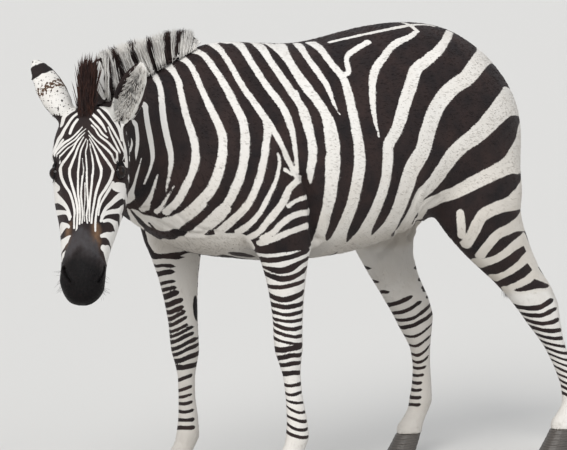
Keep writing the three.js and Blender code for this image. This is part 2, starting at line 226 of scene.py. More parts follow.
def biggest_part(verts, tris):
    """Only the largest of the separate surfaces."""
    edges, _ = edges_of(tris)
    label = np.arange(len(verts))
    while True:
        ends = np.sort(label[edges], axis=1)
        apart = ends[ends[:, 0] < ends[:, 1]]
        if not len(apart):
            break
        label[apart[:, 1]] = apart[:, 0]
        while (label[label] != label).any():
            label = label[label]
    mine = label == np.bincount(label).argmax()
    return used_only(verts, tris[mine[tris[:, 0]]])


def voxelled(verts, tris, size):
    """One closed surface round overlapping solids, as triangles."""
    obj = link("work", mesh_from("work", verts, tris, soft=False))
    modifier = obj.modifiers.new("voxels", "REMESH")
    modifier.mode = "VOXEL"
    modifier.voxel_size = size
    made = bpy.data.meshes.new_from_object(obj.evaluated_get(bpy.context.evaluated_depsgraph_get()))
    out = arrays_of(made)
    bpy.data.objects.remove(obj)
    bpy.data.meshes.remove(made)
    return biggest_part(*out)


def split(verts, tris, chosen):
    """Halves every edge of the chosen triangles, and fits their neighbours to it."""
    edges, of_tri = edges_of(tris)
    cut = np.zeros(len(edges), bool)
    cut[of_tri[chosen]] = True
    middle = np.full(len(edges), -1)
    middle[cut] = len(verts) + np.arange(cut.sum())
    verts = np.concatenate([verts, verts[edges[cut]].mean(axis=1)])
    marks = cut[of_tri]
    count = marks.sum(axis=1)
    out = [tris[count == 0]]
    t, m = tris[count == 3], middle[of_tri[count == 3]]
    for corners in ((t[:, 0], m[:, 0], m[:, 2]), (m[:, 0], t[:, 1], m[:, 1]),
                    (m[:, 2], m[:, 1], t[:, 2]), (m[:, 0], m[:, 1], m[:, 2])):
        out.append(np.stack(corners, 1))
    for k in range(3):  # turned so that the lone cut, or the lone whole edge, is the first
        i, j, l = k, (k + 1) % 3, (k + 2) % 3
        one = (count == 1) & marks[:, i]
        t, m = tris[one], middle[of_tri[one]]
        out += [np.stack((t[:, i], m[:, i], t[:, l]), 1), np.stack((m[:, i], t[:, j], t[:, l]), 1)]
        two = (count == 2) & ~marks[:, i]
        t, m = tris[two], middle[of_tri[two]]
        out += [np.stack((t[:, l], m[:, l], m[:, j]), 1), np.stack((m[:, l], t[:, i], m[:, j]), 1),
                np.stack((t[:, i], t[:, j], m[:, j]), 1)]
    return verts, np.concatenate(out)


def smooth_path(points, step):
    """A smooth curve through rows of any width, sampled so that the first columns move by about step."""
    p = np.asarray(points, float)
    out = []
    for i in range(len(p) - 1):
        a, b, c, d = p[max(i - 1, 0)], p[i], p[i + 1], p[min(i + 2, len(p) - 1)]
        n = max(1, int(math.ceil(np.linalg.norm((c - b)[:3 if len(b) > 3 else 2]) / step)))
        t = (np.arange(n) / n)[:, None]
        out.append(b + 0.5 * t * (c - a + t * (2 * a - 5 * b + 4 * c - d + t * (3 * (b - c) + d - a))))
    out.append(p[-1:])
    return np.concatenate(out)


# ---------------- the skin
FLESH = [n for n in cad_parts
         if n in ("trunk", "neck", "head", "tail") or n.startswith("ear_") or "_leg_" in n]
VOXEL = 0.0048
OVERLAP = 0.0006  # closes the thin cuts between the solids
COARSE_VOXEL = 0.014  # evens out the solids' facets on the trunk and neck
COARSE_PASSES = 14
WELD = 2e-5  # corners closer than this are one
SMOOTHING = 20  # passes


def flesh_arrays():
    """All solids of flesh, a little grown."""
    verts, tris, offset = [], [], 0
    for name in FLESH:
        v, t = arrays_of(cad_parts[name].data)
        grid = np.round(v / WELD).astype(int)
        _, first, inverse = np.unique(grid, axis=0, return_index=True, return_inverse=True)
        v, t = v[first], inverse.reshape(-1)[t]
        v = v + normals_of(v, t) * OVERLAP
        verts.append(v)
        tris.append(t + offset)
        offset += len(v)
    return np.concatenate(verts), np.concatenate(tris)


def headness(points):
    """1 on the head, falling to 0 on the neck behind the poll."""
    along, left, face = head_coords(points)
    sides = smooth01(-np.abs(left), -.26, -.20)
    return smooth01(face, -.30, -.20) * smooth01(along, -.10, -.05) * sides


def face_share(points):
    """1 where the head's own markings lie: not on the neck beside and behind it."""
    along, left, face = head_coords(points)
    ahead = smooth01(along + face * .7, -.055, -.028)
    return headness(points) * (1 - smooth01(np.abs(left), .114, .132)) * ahead


def earness(points):
    """1 on the free parts of the ears."""
    out = np.zeros(len(points))
    for node in ("ear_left", "ear_right"):
        low, high = (np.array(c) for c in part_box(node))
        inside = np.ones(len(points))
        for axis in range(3):
            inside *= smooth01(points[:, axis], low[axis] - .012, low[axis] - .002)
            inside *= smooth01(-points[:, axis], -high[axis] - .012, -high[axis] - .002)
        out = np.maximum(out, inside * smooth01(points[:, 2], low[2] + .012, low[2] + .045))
    return out


def legness(points, near=.10, far=.17):
    """1 on a leg well below the trunk."""
    out = np.zeros(len(points))
    for leg in LEGS:
        away = np.linalg.norm(points[:, :2] - leg_axis(leg, points[:, 2]), axis=1)
        out = np.maximum(out, (1 - smooth01(away, near, far)) * (1 - smooth01(points[:, 2], .66, .88)))
    return out


def base_skin():
    """One smooth closed surface over the solids of flesh."""
    verts, tris = flesh_arrays()
    fine_v, fine_t = voxelled(verts, tris, VOXEL)
    rough_v, rough_t = voxelled(verts, tris, COARSE_VOXEL)
    rough_edges, _ = edges_of(rough_t)
    rough_v = relax(rough_v, rough_edges, 1.0, COARSE_PASSES)
    rough = BVHTree.FromPolygons(rough_v.tolist(), rough_t.tolist())
    even = (1 - headness(fine_v)) * (1 - legness(fine_v)) * (1 - earness(fine_v))
    even *= 1 - smooth01(fine_v[:, 1], .742, .752) * smooth01(-np.abs(fine_v[:, 0] - MID_X), -.06, -.04)
    for i in np.nonzero(even > 0.01)[0]:
        spot = rough.find_nearest(fine_v[i])[0]
        fine_v[i] += (np.array(spot) - fine_v[i]) * even[i]
    edges, _ = edges_of(fine_t)
    ears, legs, head = earness(fine_v), legness(fine_v), headness(fine_v)
    weight = (1 - .8 * ears) * (1 - .35 * legs) * (1 - .4 * head)
    weight *= .03 + .97 * smooth01(fine_v[:, 2], .082, .118)  # the pasterns keep their rims
    fine_v = relax(fine_v, edges, weight, SMOOTHING)
    return fine_v, fine_t


skin_v, skin_t = base_skin()

# ---------------- strokes of white and dark
# Strokes are grouped by view: the left and top pixel of a part of the photograph, and its zoom. A stroke is
# a name, where its ends go on out of sight, its points and its half widths, both in its view's enlarged
# pixels.
SIDE_VIEW = (120, 20, 6.27)
RUMP_VIEW = (300, 10, 5.873)
THIGH_VIEW = (330, 190, 6.031)
FORELEG_VIEW = (120, 200, 6.272)
CROWN_VIEW = (45, 100, 16.0)
FACE_VIEW = (40, 160, 10.12)
BREAST_VIEW = (120, 190, 13.067)
MANE_VIEW = (70, 50, 10.814)

# Ends: "o" over the back, "u" under the belly, "r" round the rump
BODY_WHITES = {
    SIDE_VIEW: [
        ("N1", "", [(60, 400), (95, 620), (110, 760), (90, 880), (60, 960)], [11, 11, 8]),
        ("N1b", "", [(140, 400), (155, 520), (170, 640), (200, 800), (200, 900), (150, 1030)], [10, 18, 5]),
        ("N1wedge", "", [(135, 865), (90, 1020), (50, 1130)], [3, 15]),
        ("W1", "", [(205, 330), (250, 420), (262, 520), (275, 640), (300, 760), (322, 860), (310, 960),
         (285, 1090)], [14, 20, 20, 5]),
        ("W1wedge", "", [(238, 965), (190, 1110), (150, 1180)], [3, 25]),
        ("W1b", "", [(340, 1040), (260, 1170), (230, 1200)], [5, 18]),
        ("W2", "", [(250, 250), (330, 320), (365, 380), (385, 480), (420, 620), (460, 740), (475, 850),
         (455, 950), (400, 1070), (350, 1150), (290, 1205)], [16, 20, 26, 24]),
        ("W3", "", [(375, 235), (430, 270), (480, 360), (540, 500), (600, 620), (640, 720), (640, 850),
         (610, 980), (560, 1080), (480, 1160), (400, 1230), (320, 1260)], [13, 22, 33, 30]),
        ("W4", "", [(445, 190), (520, 215), (580, 290), (650, 400), (720, 530), (775, 650), (785, 780),
         (770, 920), (730, 1040), (670, 1150), (590, 1230), (450, 1330)], [12, 24, 30, 28]),
        ("W5", "o", [(560, 140), (630, 190), (690, 280), (770, 420), (850, 530), (910, 620)], [14, 22]),
        ("W5a", "u", [(910, 610), (925, 690), (910, 820), (890, 940), (850, 1060), (790, 1170), (700, 1260),
         (620, 1330)], [22, 25]),
        ("W5b", "", [(905, 610), (940, 650), (1000, 760), (1050, 870), (1090, 960), (1130, 1000)],
         [20, 12]),
        ("W5c", "", [(990, 835), (1000, 900), (980, 1000), (930, 1110), (870, 1220), (800, 1290),
         (740, 1330)], [8, 16, 20]),
        ("W5d", "", [(1030, 935), (1080, 970)], [12, 10]),
        ("W6", "o", [(650, 110), (740, 150), (800, 230), (870, 340), (940, 440), (1010, 530), (1055, 620),
         (1085, 720), (1100, 830), (1110, 960)], [14, 20, 22, 10]),
        ("W7", "o", [(800, 115), (880, 170), (950, 270), (1020, 370), (1090, 470), (1150, 570), (1180, 660),
         (1200, 760), (1205, 860), (1190, 950)], [14, 22, 28, 24]),
        ("W7wedge", "", [(1055, 890), (1090, 930), (1110, 950)], [6, 10, 4]),
        ("S1", "", [(1120, 1000), (1060, 1060), (1030, 1130), (990, 1190), (920, 1270), (870, 1330),
         (800, 1370)], [20, 24, 18]),
        ("S2", "", [(1170, 1110), (1110, 1130), (1050, 1170)], [14, 12]),
        ("S3", "", [(1185, 1200), (1080, 1230), (1010, 1280), (950, 1340), (890, 1370)], [18, 20]),
        ("S4", "", [(1175, 1290), (1060, 1330), (950, 1380), (870, 1400)], [18, 18]),
        ("F1", "u", [(1310, 850), (1312, 1000), (1300, 1180), (1275, 1300), (1250, 1390)], [24, 30, 26]),
        ("W8", "o", [(900, 130), (990, 180), (1070, 280), (1140, 390), (1210, 480), (1280, 580),
         (1300, 700), (1310, 860)], [14, 22, 26, 16]),
    ],
    RUMP_VIEW: [
        ("P0", "", [(-30, 480), (0, 560), (40, 680), (72, 790), (72, 880), (60, 960), (62, 1030)],
         [15, 22, 26, 24, 6]),
        ("P1", "u", [(-130, 180), (-60, 300), (0, 390), (60, 470), (120, 560), (170, 650), (200, 760),
         (205, 900), (190, 1030), (165, 1160), (130, 1290), (100, 1370)], [14, 24, 33, 30]),
        ("P2", "o", [(-50, 150), (50, 290), (110, 370), (160, 450), (195, 540), (235, 620)], [12, 18, 3]),
        ("P3", "u", [(60, 190), (120, 230), (180, 310), (240, 380), (270, 440), (300, 560), (325, 680),
         (345, 800), (350, 920), (330, 1040), (300, 1160), (250, 1280), (190, 1400)], [12, 22, 34, 30]),
        ("P3zigzag", "", [(400, 185), (330, 230), (270, 280), (290, 370), (240, 380)], [14, 14]),
        ("P4", "o", [(690, 120), (640, 160), (560, 195), (510, 250), (460, 320), (430, 380), (425, 470),
         (430, 580), (445, 670), (465, 745)], [10, 26, 6]),
        ("P5", "u", [(880, 125), (860, 170), (810, 240), (740, 300), (680, 350), (655, 430), (620, 530),
         (590, 640), (560, 720), (520, 790), (515, 900), (500, 1010), (470, 1110), (420, 1220), (360, 1330),
         (300, 1420)], [22, 38, 30, 28]),
        ("P6", "", [(1090, 260), (1040, 320), (980, 400), (900, 450), (830, 530), (790, 600), (750, 720),
         (720, 830), (660, 930), (630, 1020), (600, 1110), (560, 1210), (490, 1310), (400, 1400)],
         [50, 42, 46, 24]),
        ("P7", "r", [(1235, 530), (1200, 560), (1120, 650), (1040, 730), (960, 790), (890, 860), (830, 950),
         (770, 1030), (710, 1090), (670, 1180), (620, 1260), (540, 1340), (470, 1400)], [60, 44, 30, 10]),
        ("P8", "r", [(1315, 780), (1270, 870), (1190, 930), (1090, 980), (990, 1030), (890, 1080),
         (800, 1110), (740, 1140), (700, 1200), (660, 1270)], [50, 38, 6]),
        ("P9", "r", [(1312, 1070), (1250, 1130), (1160, 1160), (1080, 1200), (1040, 1260), (1000, 1340),
         (970, 1380)], [40, 36, 30]),
        ("P9oval", "", [(940, 1190), (945, 1250), (950, 1330)], [25, 25]),
        ("P10", "r", [(1310, 1230), (1240, 1280), (1160, 1320), (1090, 1400), (1060, 1440)], [27, 27]),
        ("back line", "", [(170, 190), (300, 160), (440, 130), (560, 105), (680, 85), (780, 90)], [5, 8]),
    ],
    THIGH_VIEW: [
        ("P11", "r", [(1175, 291), (1103, 342), (1041, 393), (960, 430), (890, 440)], [26, 20]),
        ("Q1", "r", [(1195, 395), (1130, 460), (1060, 505), (990, 530)], [22, 18]),
        ("Q2", "r", [(1235, 500), (1180, 550), (1110, 580), (1060, 600)], [22, 18]),
        ("Q3", "r", [(1250, 620), (1190, 645), (1110, 665)], [20, 16]),
    ],
    BREAST_VIEW: [
        ("breast 1", "", [(150, 250), (260, 340), (380, 420), (520, 450), (680, 430), (830, 390),
         (960, 310), (1080, 220)], [10, 55, 85, 80, 70]),
        ("breast 2", "", [(95, 235), (180, 370), (300, 530), (430, 660), (560, 740), (720, 770),
         (860, 740)], [8, 30, 60, 90, 100]),
        ("breast 3", "", [(830, 660), (950, 590), (1090, 470), (1250, 370), (1380, 240)], [70, 90, 90, 70]),
        ("breast 4", "", [(980, 700), (1200, 710), (1400, 720), (1568, 720)], [80, 100, 120, 120]),
    ],
}
BODY_DARKS = {
    RUMP_VIEW: [
        ("belly edge", "", [(30, 1455), (150, 1464), (237, 1459), (344, 1435), (484, 1390), (649, 1283)],
         [10, 12, 8, 6, 4]),
    ],
    BREAST_VIEW: [
        ("breast band", "", [(100, 215), (220, 360), (340, 490), (480, 580), (640, 620), (760, 570),
         (900, 480), (1050, 365), (1180, 240), (1300, 120)], [8, 24, 40, 56, 52, 60]),
        # a dark line along the breast's fold: the edge of the neck's stripes, with painted shade in the fold
        ("breast fold, stripe edge and painted shade", "", [(90, 208), (330, 272), (480, 342), (610, 348), (700, 318)], [7, 9, 16, 12]),
        ("breast line", "", [(300, 560), (450, 755), (600, 810), (760, 880), (900, 912), (1060, 940)],
         [5, 9, 9, 6]),
    ],
    SIDE_VIEW: [
        ("breast edge", "", [(180, 1270), (260, 1350), (400, 1440), (520, 1462), (680, 1462), (835, 1455)],
         [5, 8, 12, 12, 8]),
    ],
}
# The face's white lines; the ones on the brow start at its crown
FACE_WHITES = {
    FACE_VIEW: [
        ("A", "", [(205, 90), (215, 170), (250, 250), (300, 330), (330, 420), (350, 520), (345, 600),
         (345, 690)], [10, 8, 6]),
        ("B", "", [(300, 90), (300, 160), (320, 240), (345, 330), (370, 430), (380, 520), (375, 640),
         (370, 720)], [9, 8, 6]),
        ("C", "", [(385, 120), (385, 340), (400, 440), (405, 560), (400, 650)], [7, 7, 6]),
        ("D", "", [(430, 160), (415, 350), (425, 450), (430, 560), (425, 640)], [6, 6, 5]),
        ("middle", "", [(455, 230), (455, 400), (445, 520), (450, 620)], [4, 4]),
        ("E", "", [(472, 120), (475, 250), (485, 450), (470, 560), (480, 640)], [6, 6, 5]),
        ("F", "", [(530, 150), (520, 280), (505, 400), (500, 500), (500, 620)], [7, 7, 5]),
        ("G", "", [(620, 90), (615, 170), (580, 280), (560, 360), (545, 450), (530, 540), (520, 640)],
         [9, 8, 6]),
        ("H", "", [(740, 110), (720, 190), (670, 280), (610, 370), (590, 450), (570, 540), (560, 640),
         (560, 720)], [10, 9, 6]),
        ("I", "", [(740, 230), (700, 300), (650, 380), (610, 460), (590, 560)], [10, 8, 5]),
        ("left eye patch", "", [(750, 270), (790, 275), (850, 280)], [22, 34, 30]),
        ("left cheek 1", "", [(860, 340), (800, 370), (720, 440), (660, 500), (620, 580)], [22, 14, 7]),
        ("left cheek 2", "", [(830, 510), (760, 520), (690, 530), (640, 560), (615, 620)], [18, 14, 8]),
        ("left arch", "", [(640, 620), (700, 610), (760, 650), (780, 720), (770, 780)], [10, 14, 14]),
        ("left cheek 3", "", [(620, 770), (680, 760), (740, 810), (740, 860)], [12, 22, 22]),
        ("left cheek 4", "", [(640, 890), (680, 930), (690, 980)], [18, 22]),
        ("right eye patch", "", [(130, 270), (165, 280), (195, 285)], [28, 28, 14]),
        ("right cheek 1", "", [(125, 350), (180, 390), (240, 440), (280, 500), (310, 580)], [20, 13, 7]),
        ("right cheek 2", "", [(160, 540), (220, 530), (280, 540), (300, 600)], [18, 14, 8]),
        ("right cheek 3", "", [(190, 740), (220, 690), (270, 660), (295, 680)], [16, 16, 8]),
        ("right cheek 4", "", [(215, 880), (250, 830), (300, 790)], [18, 14]),
        ("right cheek 5", "", [(235, 990), (270, 940)], [16, 16]),
    ],
    CROWN_VIEW: [
        ("brow R0", "", [(900, 110), (1000, 190), (1090, 300), (1170, 420), (1215, 540), (1230, 640)],
         [10, 12, 16, 18, 12]),
        ("brow R1", "", [(850, 160), (940, 270), (1020, 370), (1080, 470), (1130, 560), (1180, 650),
         (1230, 760), (1275, 860), (1290, 960)], [12, 12, 10, 8]),
        ("brow R2", "", [(750, 215), (850, 310), (920, 400), (960, 470), (982, 512)], [14, 18, 16, 10, 6]),
        ("brow R3", "", [(1010, 430), (1060, 560), (1110, 660), (1150, 740), (1200, 840), (1240, 920)],
         [6, 10, 10, 8]),
        ("brow R4", "", [(720, 300), (790, 380), (860, 450), (920, 540), (1000, 602)], [8, 11, 11, 9]),
        ("brow R5", "", [(740, 400), (800, 460), (860, 560), (930, 620), (1010, 680), (1080, 760),
         (1140, 830), (1200, 900), (1240, 960)], [7, 11, 12, 10]),
        ("brow R6", "", [(690, 490), (760, 580), (830, 650), (900, 710), (970, 770), (1040, 840),
         (1100, 920), (1160, 980), (1210, 1040)], [6, 9, 12, 12, 11]),
        ("brow H", "", [(700, 560), (760, 640), (830, 740), (880, 810), (940, 900), (1000, 980),
         (1060, 1070), (1090, 1134)], [5, 8, 12, 14, 13]),
        ("brow G", "", [(710, 620), (760, 720), (800, 820), (830, 900), (855, 980), (885, 1060),
         (900, 1102)], [5, 8, 10, 13, 16, 17]),
        ("brow F", "", [(720, 700), (728, 790), (748, 880), (762, 960), (772, 1060), (764, 1197)],
         [5, 7, 9, 10]),
        ("brow E", "", [(682, 640), (674, 740), (650, 820), (655, 900), (662, 1000), (670, 1100),
         (668, 1200)], [5, 8, 8, 7]),
        ("brow D", "", [(598, 930), (604, 1000), (618, 1100), (610, 1200), (600, 1260)], [4, 6, 6]),
        ("brow C", "", [(660, 620), (620, 700), (580, 790), (560, 880), (550, 960), (540, 1060),
         (529, 1150)], [5, 8, 10, 11]),
        ("brow B", "", [(620, 590), (560, 690), (510, 800), (485, 880), (450, 960), (412, 1060),
         (394, 1102)], [5, 9, 11, 14, 16]),
        ("brow A", "", [(640, 520), (560, 600), (500, 680), (450, 780), (380, 880), (330, 950), (270, 1030),
         (240, 1102)], [5, 9, 12, 13, 13]),
        ("brow L1", "", [(655, 460), (560, 540), (490, 620), (420, 670), (350, 720), (280, 780), (190, 870),
         (160, 915)], [5, 8, 9, 8]),
        ("brow L1 lower", "", [(520, 650), (440, 720), (370, 770), (300, 840), (240, 900), (190, 940)],
         [4, 7, 9, 7]),
        ("brow L2", "", [(600, 430), (540, 500), (470, 570), (400, 630), (330, 670), (270, 720), (200, 790),
         (150, 870), (125, 940)], [5, 9, 12, 12, 9]),
        ("brow L3", "", [(520, 310), (460, 390), (420, 470), (400, 535)], [11, 15, 14]),
        ("brow L4", "", [(545, 200), (460, 260), (400, 330), (350, 410), (300, 490), (262, 570), (210, 640),
         (180, 720), (140, 800), (110, 880), (95, 960)], [11, 13, 17, 13, 10]),
        ("brow L5", "", [(470, 160), (390, 200), (320, 255), (285, 330), (268, 400)], [9, 18, 20, 12]),
        ("brow L6", "", [(290, 640), (240, 700), (190, 780), (150, 860), (125, 930)], [10, 8, 7]),
        ("brow L7", "", [(140, 690), (105, 780), (88, 860), (78, 950)], [7, 8, 9]),
        ("over the right eye", "", [(60, 1045), (120, 990), (190, 955), (250, 945)], [12, 16, 13, 9]),
        ("before the right eye", "", [(240, 945), (238, 1005)], [8]),
        ("before the left eye", "", [(1100, 960), (1132, 1012)], [8]),
        ("over the left eye", "", [(1190, 1030), (1250, 1022), (1320, 1055)], [12, 18, 14]),
        ("temple 1", "", [(1265, 690), (1290, 800), (1300, 900), (1310, 1010)], [10, 14, 14]),
        ("temple 2", "", [(1240, 330), (1232, 430), (1240, 560), (1262, 690)], [22, 12, 9, 9]),
        ("temple 5", "", [(1300, 320), (1355, 420), (1385, 520), (1395, 620), (1388, 720), (1350, 850)],
         [12, 12, 10]),
    ],
}
FACE_FULLNESS = 1.5  # how much wider the face's whites are laid than drawn
# The mane's white locks, across its near side
MANE_WHITES = {
    MANE_VIEW: [
        ("m0", "", [(235, 200), (275, 320), (320, 430), (370, 520)], [12, 22, 22, 14]),
        ("m1", "", [(310, 140), (345, 280), (395, 390), (420, 480)], [18, 34, 34, 20]),
        ("m2", "", [(345, 20), (430, 180), (500, 300)], [22, 42, 36]),
        ("m3", "", [(530, -110), (590, 60), (640, 190)], [45, 55, 50]),
    ],
    SIDE_VIEW: [
        ("m4", "", [(120, 80), (150, 240), (185, 340)], [26, 29]),
        ("m5", "", [(230, 70), (250, 250)], [26, 26]),
        ("m6", "", [(340, 80), (330, 180)], [11, 11]),
        ("m7", "", [(445, 90), (375, 235)], [20, 20]),
        ("m8", "", [(520, 95), (445, 190)], [16, 16]),
    ],
}

NEAR_REACH, FAR_REACH = 6.5, 10.5  # how far from the camera the animal lies


def cast(px, py, tree):
    """Where the ray through a pixel meets the surface, or the surface's point nearest to that ray."""
    way = Vector(ray_of(px, py))
    start = Vector(CAMERA_AT)
    hit = tree.ray_cast(start, way)[0]
    if hit is not None:
        return np.array(hit), True
    best = min((tree.find_nearest(start + way * reach) for reach in np.linspace(NEAR_REACH, FAR_REACH, 60)),
               key=lambda found: found[3])
    return np.array(best[0]), False


def on_skin(point):
    return np.array(probe_tree.find_nearest(Vector(point))[0])


EXPECTED_SCALE = 350.0  # pixels for a metre
WIDEST_SLANT = 2.6  # a stripe's true width over its width in the picture, at most


def picture_stroke(view, points, widths):
    """The stroke's points in the photograph's pixels, with the half width at each."""
    left, top, zoom = view
    table = np.array([(left + x / zoom, top + y / zoom) for x, y in points])
    along = np.linspace(0, len(widths) - 1, len(points))
    return table, np.interp(along, range(len(widths)), widths) / zoom


def laid_stroke(view, stroke, step):
    """The stroke as samples x, y, z, half width in metres on the skin."""
    _, ends, points, widths = stroke
    table, half = picture_stroke(view, points, widths)
    rows = smooth_path(np.column_stack([table, half]), step)
    rows[:, 2] = np.clip(rows[:, 2], half.min(), half.max())
    heading = np.gradient(rows[:, :2], axis=0)
    across = unit(np.stack([-heading[:, 1], heading[:, 0]], 1))
    out = []
    for (x, y, h), (nx, ny) in zip(rows, across):
        middle, _ = cast(x, y, probe_tree)
        sides = [cast(x + s * h * nx, y + s * h * ny, probe_tree) for s in (-1, 1)]
        plain = h / EXPECTED_SCALE
        seen = [np.linalg.norm(p - middle) for p, met in sides if met]
        wide = np.clip(np.mean(seen), plain * .8, plain * WIDEST_SLANT) if seen else plain * 1.5
        out.append((*middle, wide))
    out = np.array(out)
    for axis in range(4):  # evens out the steps where a ray slips past a fold
        padded = np.pad(out[:, axis], 2, mode="edge")
        out[:, axis] = np.convolve(padded, np.array([.1, .2, .4, .2, .1]), mode="valid")
    parts = [out]
    first, last = out[0], out[-1]
    if "o" in ends:
        over_back = [(MID_X + .010, first[1] + .01, first[2] + .12)]
        parts.insert(0, carried(first, over_back, .8)[::-1])
    if "u" in ends:
        under_belly = [(MID_X + .14, last[1], .60), (MID_X + .045, last[1] + .01, .58)]
        parts.append(carried(last, under_belly, .35))
    if "r" in ends:
        round_rump = [(.10, .90, first[2] + .015), (MID_X + .03, .90, first[2] + .05)]
        parts.insert(0, carried(first, round_rump, .7)[::-1])
    return np.concatenate(parts)


def carried(start, targets, narrowing):
    """Goes on from a sample over the skin by way of other points."""
    rows = [start[:4]]
    for i, target in enumerate(targets):
        spot = on_skin(target)
        rows.append((*spot, start[3] * (1 + (narrowing - 1) * (i + 1) / len(targets))))
    rows = smooth_path(rows, .012)[1:]
    for row in rows:
        row[:3] = on_skin(row[:3])
    return rows


FARTHEST = .08  # distances to strokes stop here


def band_distance(points, samples, chunk=6000):
    """Signed distance from each point to the nearest stroke's edge, negative inside."""
    out = np.full(len(points), FARTHEST, np.float32)
    spots = samples[:, :3].astype(np.float32)
    half = samples[:, 3].astype(np.float32)
    square = (spots ** 2).sum(1)
    for i in range(0, len(points), chunk):
        p = points[i:i + chunk].astype(np.float32)
        d = (p ** 2).sum(1)[:, None] + square - 2 * p @ spots.T
        out[i:i + chunk] = np.minimum((np.sqrt(np.maximum(d, 0)) - half).min(1), FARTHEST)
    return out


def dense(samples, step=.004):
    """More samples between neighbours of one stroke."""
    keep = []
    for a, b in zip(samples[:-1], samples[1:]):
        gap = np.linalg.norm(b[:3] - a[:3])
        n = max(1, int(gap / step)) if gap < FARTHEST else 1
        keep.append(a + (b - a) * (np.arange(n) / n)[:, None])
    return np.concatenate(keep + [samples[-1:]])


def laid(strokes, step=3.0):
    """All strokes of a table as one array of samples; the step is in the photograph's pixels."""
    return np.concatenate([dense(laid_stroke(view, stroke, step)) for view, rows in strokes.items()
                           for stroke in rows])


# ---------------- the finished skin
BODY_DEPTH, LEG_DEPTH, HEAD_DEPTH, EAR_DEPTH = .0035, .0022, .0018, .0007  # of the coat over the skin


MUZZLE_FROM = .42  # along the face


def finer_head(verts, tris):
    """Halves the head's edges, and the face's once more."""
    centres = verts[tris].mean(axis=1)
    verts, tris = split(verts, tris, (headness(centres) > .3) | (earness(centres) > .1))
    along, left, face = head_coords(verts[tris].mean(axis=1))
    near_eye = (np.abs(along - .173) < .045) & (np.abs(np.abs(left) - .088) < .04) & (face > -.11)
    muzzle = (along > MUZZLE_FROM) & (face > -.16)
    front = (along > 0) & (along < MUZZLE_FROM + .01) & (face > -.05) & (np.abs(left) < .11)
    return split(verts, tris, near_eye | muzzle | front)


# Soft forms of the head, alike on both sides: along, left, face, then the spreads, in mm, and the amount
HEAD_FORMS = {
    "brow ridge": ((147, 88, -30), (24, 15, 15), 4.5),
    "brow ridge, front": ((168, 80, -20), (20, 12, 12), 2.5),
    "hollow over the eye": ((110, 76, -20), (20, 13, 18), -5.0),
    "temple": ((62, 62, -10), (26, 20, 24), 2.5),
    "hollow before the eye": ((222, 78, -34), (26, 16, 20), -3.5),
    "facial crest": ((258, 86, -82), (55, 14, 9), 3.0),
    "hollow over the crest": ((290, 72, -40), (60, 20, 22), -3.5),
    "hollow under the crest": ((300, 74, -112), (45, 20, 16), -2.5),
    "cheek plate": ((205, 92, -150), (62, 24, 52), 3.0),
    "cheek plate's edge": ((282, 80, -158), (16, 24, 46), -2.5),
    "nasal bone": ((300, 0, 0), (110, 20, 20), 1.8),
    "side of the nose": ((375, 50, -26), (45, 14, 16), -4.0),
    "upper nostril rim": ((452, 52, -26), (16, 14, 12), 3.5),
    "outer nostril rim": ((478, 62, -46), (18, 12, 14), 4.0),
    "upper lip": ((512, 22, -44), (18, 26, 16), 3.0),
    "lip, side": ((492, 50, -74), (20, 16, 14), 3.0),
    "chin": ((500, 0, -106), (22, 26, 14), 2.5),
    "chin's groove": ((470, 0, -122), (14, 40, 14), -3.0),
    "jaw's edge": ((250, 50, -225), (90, 18, 16), 2.0),
}
# Broad forms of the body: place in the withers' frame, spreads and amount, in mm; the side is +1 the left
# one, -1 the right one and 0 both.
BODY_FORMS = {
    "shoulder blade": ((170, 10, 1090), (60, 55, 130), 6.0, 0),
    "shoulder's front edge": ((150, -75, 1010), (40, 24, 120), -5.0, 0),
    "shoulder's point": ((170, -70, 900), (45, 45, 50), 6.0, 1),
    "triceps": ((215, 120, 880), (40, 55, 75), 6.0, 1),
    "behind the shoulder": ((230, 190, 960), (50, 28, 130), -6.0, 0),
    "ribs": ((260, 380, 900), (60, 150, 140), 3.0, 0),
    "flank hollow": ((215, 640, 1010), (60, 42, 80), -9.0, 0),
    "flank fold": ((215, 650, 800), (50, 40, 70), -5.0, 1),
    "hip bone": ((190, 690, 1190), (34, 34, 30), 5.0, 0),
    "croup": ((90, 800, 1290), (60, 90, 40), 3.0, 0),
    "thigh": ((225, 860, 920), (50, 80, 110), 6.0, 1),
    "back of the thigh": ((130, 980, 900), (50, 40, 120), 3.0, 0),
    "groove of the thigh": ((170, 950, 820), (40, 20, 110), -4.0, 1),
    "spine at the withers": ((0, 20, 1290), (30, 90, 30), 3.0, 0),
    "crest side": ((95, -250, 1110), (40, 120, 36), -3.0, 0),
    "throat groove": ((120, -330, 950), (40, 90, 24), -4.0, 1),
}
# Folds seen in the photograph, by view: a name, points, half width and depth in mm
FOLDS = {
    SIDE_VIEW: [
        ("elbow's edge", [(1010, 830), (1060, 890), (1110, 945), (1155, 1010), (1190, 1100), (1200, 1220),
         (1202, 1380)], 8, 7),
        ("behind the elbow", [(1165, 1000), (1205, 1090), (1222, 1220), (1225, 1380)], 14, 12),
        ("fold of the breast", [(150, 1180), (230, 1260), (380, 1330), (520, 1340)], 7, 4),
        ("fold of the breast, upper", [(330, 1200), (450, 1290), (600, 1330)], 6, 3),
        ("throat's edge", [(40, 980), (60, 1100), (110, 1200)], 8, 4),
    ],
    RUMP_VIEW: [
        ("stifle's fold", [(800, 1110), (730, 1170), (680, 1260), (640, 1330)], 9, 7),
        ("flank's fold", [(700, 1060), (640, 1190), (560, 1330), (470, 1430)], 10, 5),
    ],
}
NOSTRILS = [[(64.0, 268.5), (65.8, 273.5), (70.5, 281.5)], [(103.9, 267.5), (102.3, 273.0), (98.2, 282.0)]]
NOSTRIL_WIDTHS = (.0052, .0034, .0022)
NOSTRIL_DEPTH = .013
MOUTH = [(.452, .058, -.088), (.478, .060, -.085), (.502, .050, -.080), (.520, .034, -.077),
         (.531, .015, -.074)]  # along, left, face, alike on both sides


def bell(x, width):
    return np.exp(-(x / width) ** 2)


